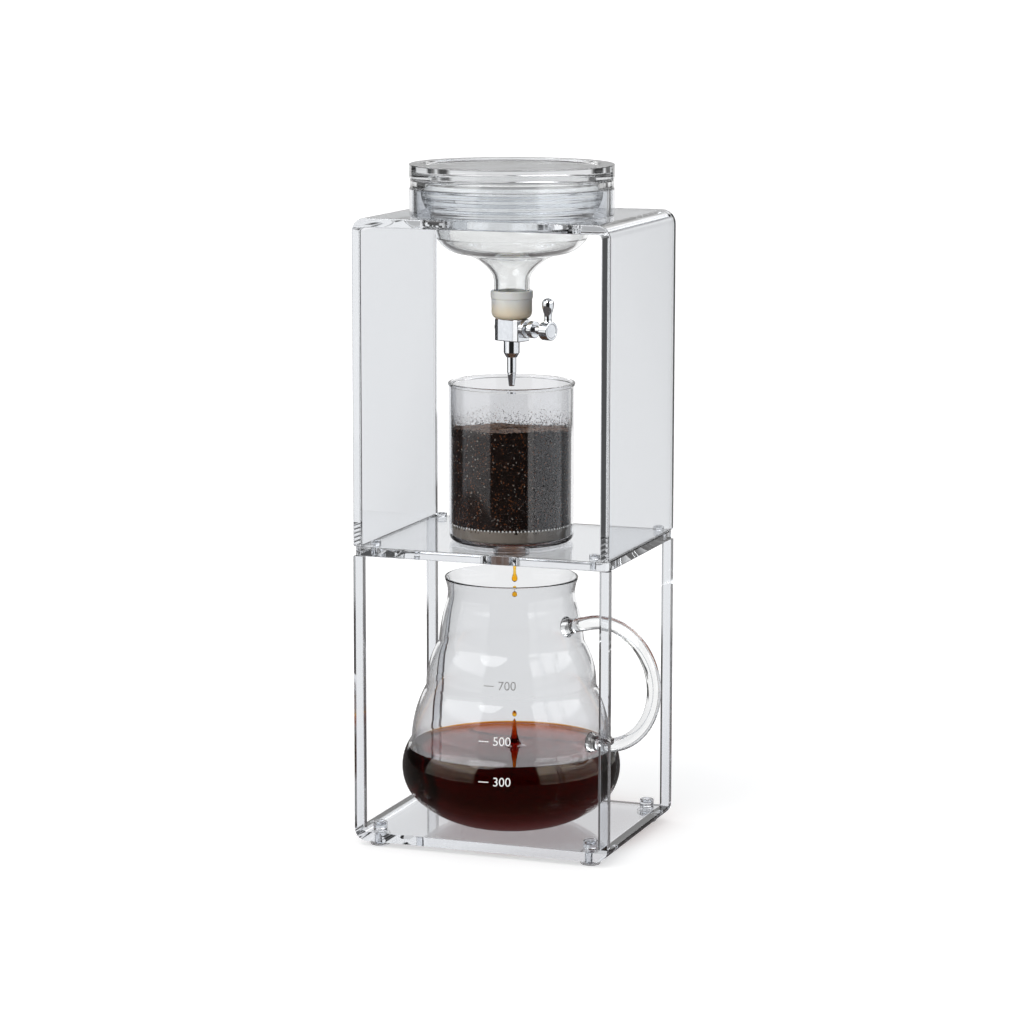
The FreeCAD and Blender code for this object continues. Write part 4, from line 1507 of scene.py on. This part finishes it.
def fallingCoffee():
    look = dropLook
    line = vesselLine + look["aside"]
    level = roundSpan("brewed_coffee")[2]
    hanging = smoothSpots([(r, z + look["hangingLow"]) for r, z in look["hanging"]])
    foot, *above = [(r, z + level) for r, z in look["splash"]]
    falling, landing, fleck = (dropOutline(*look[row]) for row in ("falling", "landing", "fleck"))
    splash = [foot] + smoothSpots(above)
    # name, body, finish and the outlines with their turns
    rows = [
        ("spoutDrips", "filter", amberDrip, [(hanging, 32), (falling, 32), (fleck, 24)]),
        ("landingDrip", "server", amberDrip, [(landing, 32)]),
        ("splash", "server", splashBrew, [(splash, 48)]),
    ]
    for name, body, finish, outlines in rows:
        mesh = bmesh.new()
        for outline, turns in outlines:
            lathe(mesh, outline, line, turns, closed=False)
        dress(objectFrom(name, mesh), finish, body, sharp=60)


fallingCoffee()
print("drips ready")

# plain volume marks on the carafe

markLook = {
    "size": 5.7,
    "fontScale": 1.36,
    "proud": 0.06,
    "thick": 0.05,
    "tickLong": 6.4,
    "tickHigh": 0.6,
    "gap": 2.6,
    "frontSide": -70.0,
    "grey": colour(0.3, 0.3, 0.3),
    "white": colour(0.85, 0.85, 0.84),
    # number, height of its middle, place of the tick's left end from the middle, finish
    "rows": [
        ("700", 109.6, -17.6, "greyPrint"),
        ("500", 76.0, -20.9, "whitePrint"),
        ("300", 51.6, -20.9, "whitePrint"),
    ],
}


def markMesh(text):
    # flat letters as a mesh
    curve = bpy.data.curves.new("mark", "FONT")
    curve.body = text
    curve.size = markLook["size"] * markLook["fontScale"]
    curve.align_y = "CENTER"
    helper = linked("mark", curve)
    mesh = bmesh.new()
    mesh.from_mesh(shapeOf(helper))
    bpy.data.objects.remove(helper)
    return mesh


def volumeMarks(face):
    look = markLook
    finishes = {
        "greyPrint": printFinish("greyPrint", look["grey"]),
        "whitePrint": printFinish("whitePrint", look["white"]),
    }
    for text, level, start, finish in look["rows"]:
        mesh = markMesh(text)
        end, half = start + look["tickLong"], look["tickHigh"] / 2
        bmesh.ops.translate(mesh, verts=mesh.verts, vec=(end + look["gap"], 0, 0))
        tick = boxOutline(start, -half, end, half)
        mesh.faces.new([mesh.verts.new((x, y, 0)) for x, y in tick])
        bmesh.ops.triangulate(mesh, faces=mesh.faces)
        bmesh.ops.subdivide_edges(mesh, edges=mesh.edges, cuts=2, use_grid_fill=True)
        bmesh.ops.solidify(mesh, geom=mesh.faces[:], thickness=look["thick"])
        radius = wallRadius(face, level)
        for vert in mesh.verts:
            height = level + vert.co.y
            angle = math.radians(look["frontSide"]) + vert.co.x / radius
            reach = wallRadius(face, height) + look["proud"] + vert.co.z
            vert.co = vesselLine + around(angle) * reach + Vector((0, 0, height))
        made = objectFrom(f"mark{text}", mesh)
        dress(made, finishes[finish], "server", sharp=40)


volumeMarks(face)
print("marks ready")

# studio: floor, world, light and camera, all in metres

studioLook = {
    "floorReach": 40.0,
    "floor": colour(0.86, 0.86, 0.865),
    "floorSpot": colour(0.84, 0.84, 0.845),
    "lift": 0.35,
    "paper": colour(0.84, 0.84, 0.85),
    "dim": colour(0.11, 0.1, 0.1),
    "white": colour(1, 1, 1),
    "sky": colour(0.55, 0.55, 0.55),
    # how far from the tower the floor's patterns begin and change
    "paperReach": 0.3,
    "mirrorReach": 1.0,
    "mirrorShift": (-0.35, -0.2, 0),
    "windowReach": 1.85,
    "lowReach": 1.15,
    "seam": 0.12,
    "toneSeam": 0.1,
    # what shows behind the carafe is fainter in it, after this many walls
    "faint": colour(0.9, 0.9, 0.9),
    "faintShare": 0.7,
    "walls": (4.5, 5.5),
    "sunStrength": 1.65,
    "sunSpread": 38.0,
    "sunTurn": (38.0, 0.0, -16.0),
    # values by the height of a direction: for rays through the glass, and for mirrored rays,
    # which alone meet the lamps' windows
    "overhead": [(0.0, 1.0), (0.2, 1.0), (0.34, 0.3), (0.78, 0.3), (0.88, 1.2)],
    "window": [(0.0, 0.6), (0.09, 0.65), (0.15, 1.0), (0.29, 1.0), (0.36, 3.2)]
    + [(0.62, 3.2), (0.7, 0.5), (1.0, 0.8)],
}

# shades around the horizon, as (start, end, value) in degrees counted from the front
# towards the right: seen through the clear pieces, the same for the lower pieces, which
# look at the nearer floor, and mirrored
throughShades = [(-22, 31, 0.05), (122, 140, 0.03), (156.5, 163.5, 0.1), (165.5, 173, 0.02)]
throughShades += [(239, 252, 0.02), (256, 265.5, 0.05), (274.5, 288, 0.05)]
lowShades = [(-22, 31, 0.05), (108, 150, 0.1), (244, 252, 0.15)]
lowShades += [(256, 265.5, 0.05), (274.5, 292, 0.05)]
mirrorShades = [(-20, 50, 0.02), (50, 125, 1.2), (125, 150, 0.3), (150, 161, 0.62)]
mirrorShades += [(161, 164, 0.36), (188, 212, 0.8), (228, 278, 0.04)]
nearShades = mirrorShades + [(278, 340, 0.6)]
mirrorShades += [(166, 175, 0.03), (278, 340, 1.2)]


def greyStops(stops):
    return [(place, (value,) * 3) for place, value in stops]


def horizonStops(spans):
    # ramp stops for shades around the horizon; a span may start below zero
    def shadeAt(angle):
        for start, end, value in spans:
            for turn in (0, 360, -360):
                if start <= angle + turn <= end:
                    return value
        return 1.0

    edges = sorted({edge % 360 for start, end, _ in spans for edge in (start, end)})
    stops = [(0.0, shadeAt(0))]
    for edge in edges:
        stops += [((edge - 1) / 360, shadeAt(edge - 0.5)), ((edge + 1) / 360, shadeAt(edge + 0.5))]
    return greyStops(stops + [(1.0, shadeAt(360))])


def horizonShade(finish, way, spans):
    # way is a direction from the tower, or a place around it
    x, y = finish.along(way, "X"), finish.along(way, "Y")
    angle = finish.node("ShaderNodeMath", {"operation": "ARCTAN2"}, {0: x * -1, 1: y})
    return finish.ramp(angle / circle + 0.5, horizonStops(spans))


def rayKinds(finish):
    # straight from the camera, out of a clear piece, and mirrored: that is once on the way,
    # or last of all, because light that a sheet passes along inside counts as through
    isCamera = finish.ray("Is Camera Ray")
    isThrough = finish.ray("Is Transmission Ray")
    sockets = {0: finish.ray("Glossy Depth"), 1: 1.0, 2: 0.5}
    once = finish.node("ShaderNodeMath", {"operation": "COMPARE"}, sockets)
    isMirrored = finish.ray("Is Glossy Ray") * (once + (1 - once) * (1 - isThrough))
    return isCamera, isThrough, isMirrored


def floorFinish():
    look = studioLook
    finish = newFinish("paleFloor")
    place = finish.place()
    shade = finish.blend(finish.noise(place, 3.0, 2), look["floor"], look["floorSpot"])
    matt = finish.node("ShaderNodeBsdfDiffuse", {}, {"Color": shade})
    lift = finish.light(look["white"], look["lift"])
    raised = finish.node("ShaderNodeAddShader", {}, {0: matt, 1: lift})
    isCamera, isThrough, isMirrored = rayKinds(finish)
    surface = finish.either(isCamera, matt, raised)

    def tone(reach, near, far, faint=None):
        # one set of shades near the tower and another beyond reach
        near, far = horizonShade(finish, place, near), horizonShade(finish, place, far)
        if faint:
            near = finish.blend(faint, near, look["faint"])
        distance = finish.vector("LENGTH", {0: place}, output=1)
        return finish.blend(finish.band(distance, reach, reach + look["toneSeam"]), near, far)

    faint = finish.band(finish.ray("Transmission Depth"), *look["walls"]) * look["faintShare"]
    throughTone = tone(look["lowReach"], lowShades, throughShades, faint)
    mirrorTone = tone(look["windowReach"], nearShades, mirrorShades)
    # the paper under the tower looks evenly lit through glass, and further out the floor
    # carries the studio's shades
    paper = finish.either(0.5, raised, finish.light(look["paper"]))
    shift = finish.vector("SUBTRACT", {0: place, 1: look["mirrorShift"]})
    sides = [
        (isThrough, throughTone, place, look["paperReach"], paper),
        (isMirrored, mirrorTone, shift, look["mirrorReach"], finish.light(look["dim"])),
    ]
    for isRay, shades, spot, reach, near in sides:
        distance = finish.vector("LENGTH", {0: spot}, output=1)
        beyond = finish.band(distance, reach, reach + look["seam"])
        side = finish.either(beyond, near, finish.light(shades))
        surface = finish.either(isRay, surface, side)
    return finish.show({"Surface": surface})


def studioFloor():
    mesh = bmesh.new()
    reach = studioLook["floorReach"]
    corners = boxOutline(-reach, -reach, reach, reach)
    mesh.faces.new([mesh.verts.new((x, y, 0)) for x, y in corners])
    floor = objectFrom("studioFloor", mesh)
    floor.data.materials.append(floorFinish())


def studioWorld():
    look = studioLook
    world = bpy.data.worlds.new("studio")
    bpy.context.scene.world = world
    finish = Finish(world)
    way = finish.node("ShaderNodeTexCoord", output="Generated")
    height = finish.along(way, "Z")
    isCamera, isThrough, isMirrored = rayKinds(finish)
    shade = look["sky"]
    sides = [(isThrough, throughShades, "overhead"), (isMirrored, mirrorShades, "window")]
    for isRay, shades, heights in sides:
        level = finish.ramp(height, greyStops(look[heights]))
        seen = finish.blend(1.0, horizonShade(finish, way, shades), level, "MULTIPLY")
        shade = finish.blend(isRay, shade, seen)
    shade = finish.blend(isCamera, shade, look["white"])
    back = finish.node("ShaderNodeBackground", {}, {"Color": shade, "Strength": 1.0})
    finish.show({"Surface": back}, "World")


def studioSun():
    lamp = bpy.data.lights.new("softKey", "SUN")
    lamp.energy = studioLook["sunStrength"]
    lamp.angle = math.radians(studioLook["sunSpread"])
    turn = [math.radians(angle) for angle in studioLook["sunTurn"]]
    linked("softKey", lamp).rotation_euler = turn


cameraLook = {
    "place": (0.7642, -2.1116, 0.5813),
    "ahead": (-0.33577, 0.92776, -0.16286),
    "roll": 0.08,
    "lens": 125.1,
    "shift": -0.0036,
}


def studioCamera():
    look = cameraLook
    data = bpy.data.cameras.new("camera")
    data.lens = look["lens"]
    data.sensor_width = 36
    data.shift_x = look["shift"]
    data.clip_end = 200
    holder = linked("camera", data)
    turn = Vector(look["ahead"]).to_track_quat("-Z", "Y").to_matrix().to_4x4()
    roll = Matrix.Rotation(math.radians(look["roll"]), 4, "Z")
    holder.matrix_world = Matrix.Translation(look["place"]) @ turn @ roll
    bpy.context.scene.camera = holder


studioFloor()
studioWorld()
studioSun()
studioCamera()
scene = bpy.context.scene
scene.view_settings.view_transform = "Standard"
scene.cycles.max_bounces = 28
scene.cycles.transmission_bounces = 28
scene.cycles.glossy_bounces = 10
scene.cycles.transparent_max_bounces = 24
scene.cycles.caustics_reflective = False
scene.cycles.caustics_refractive = False
print("studio ready")
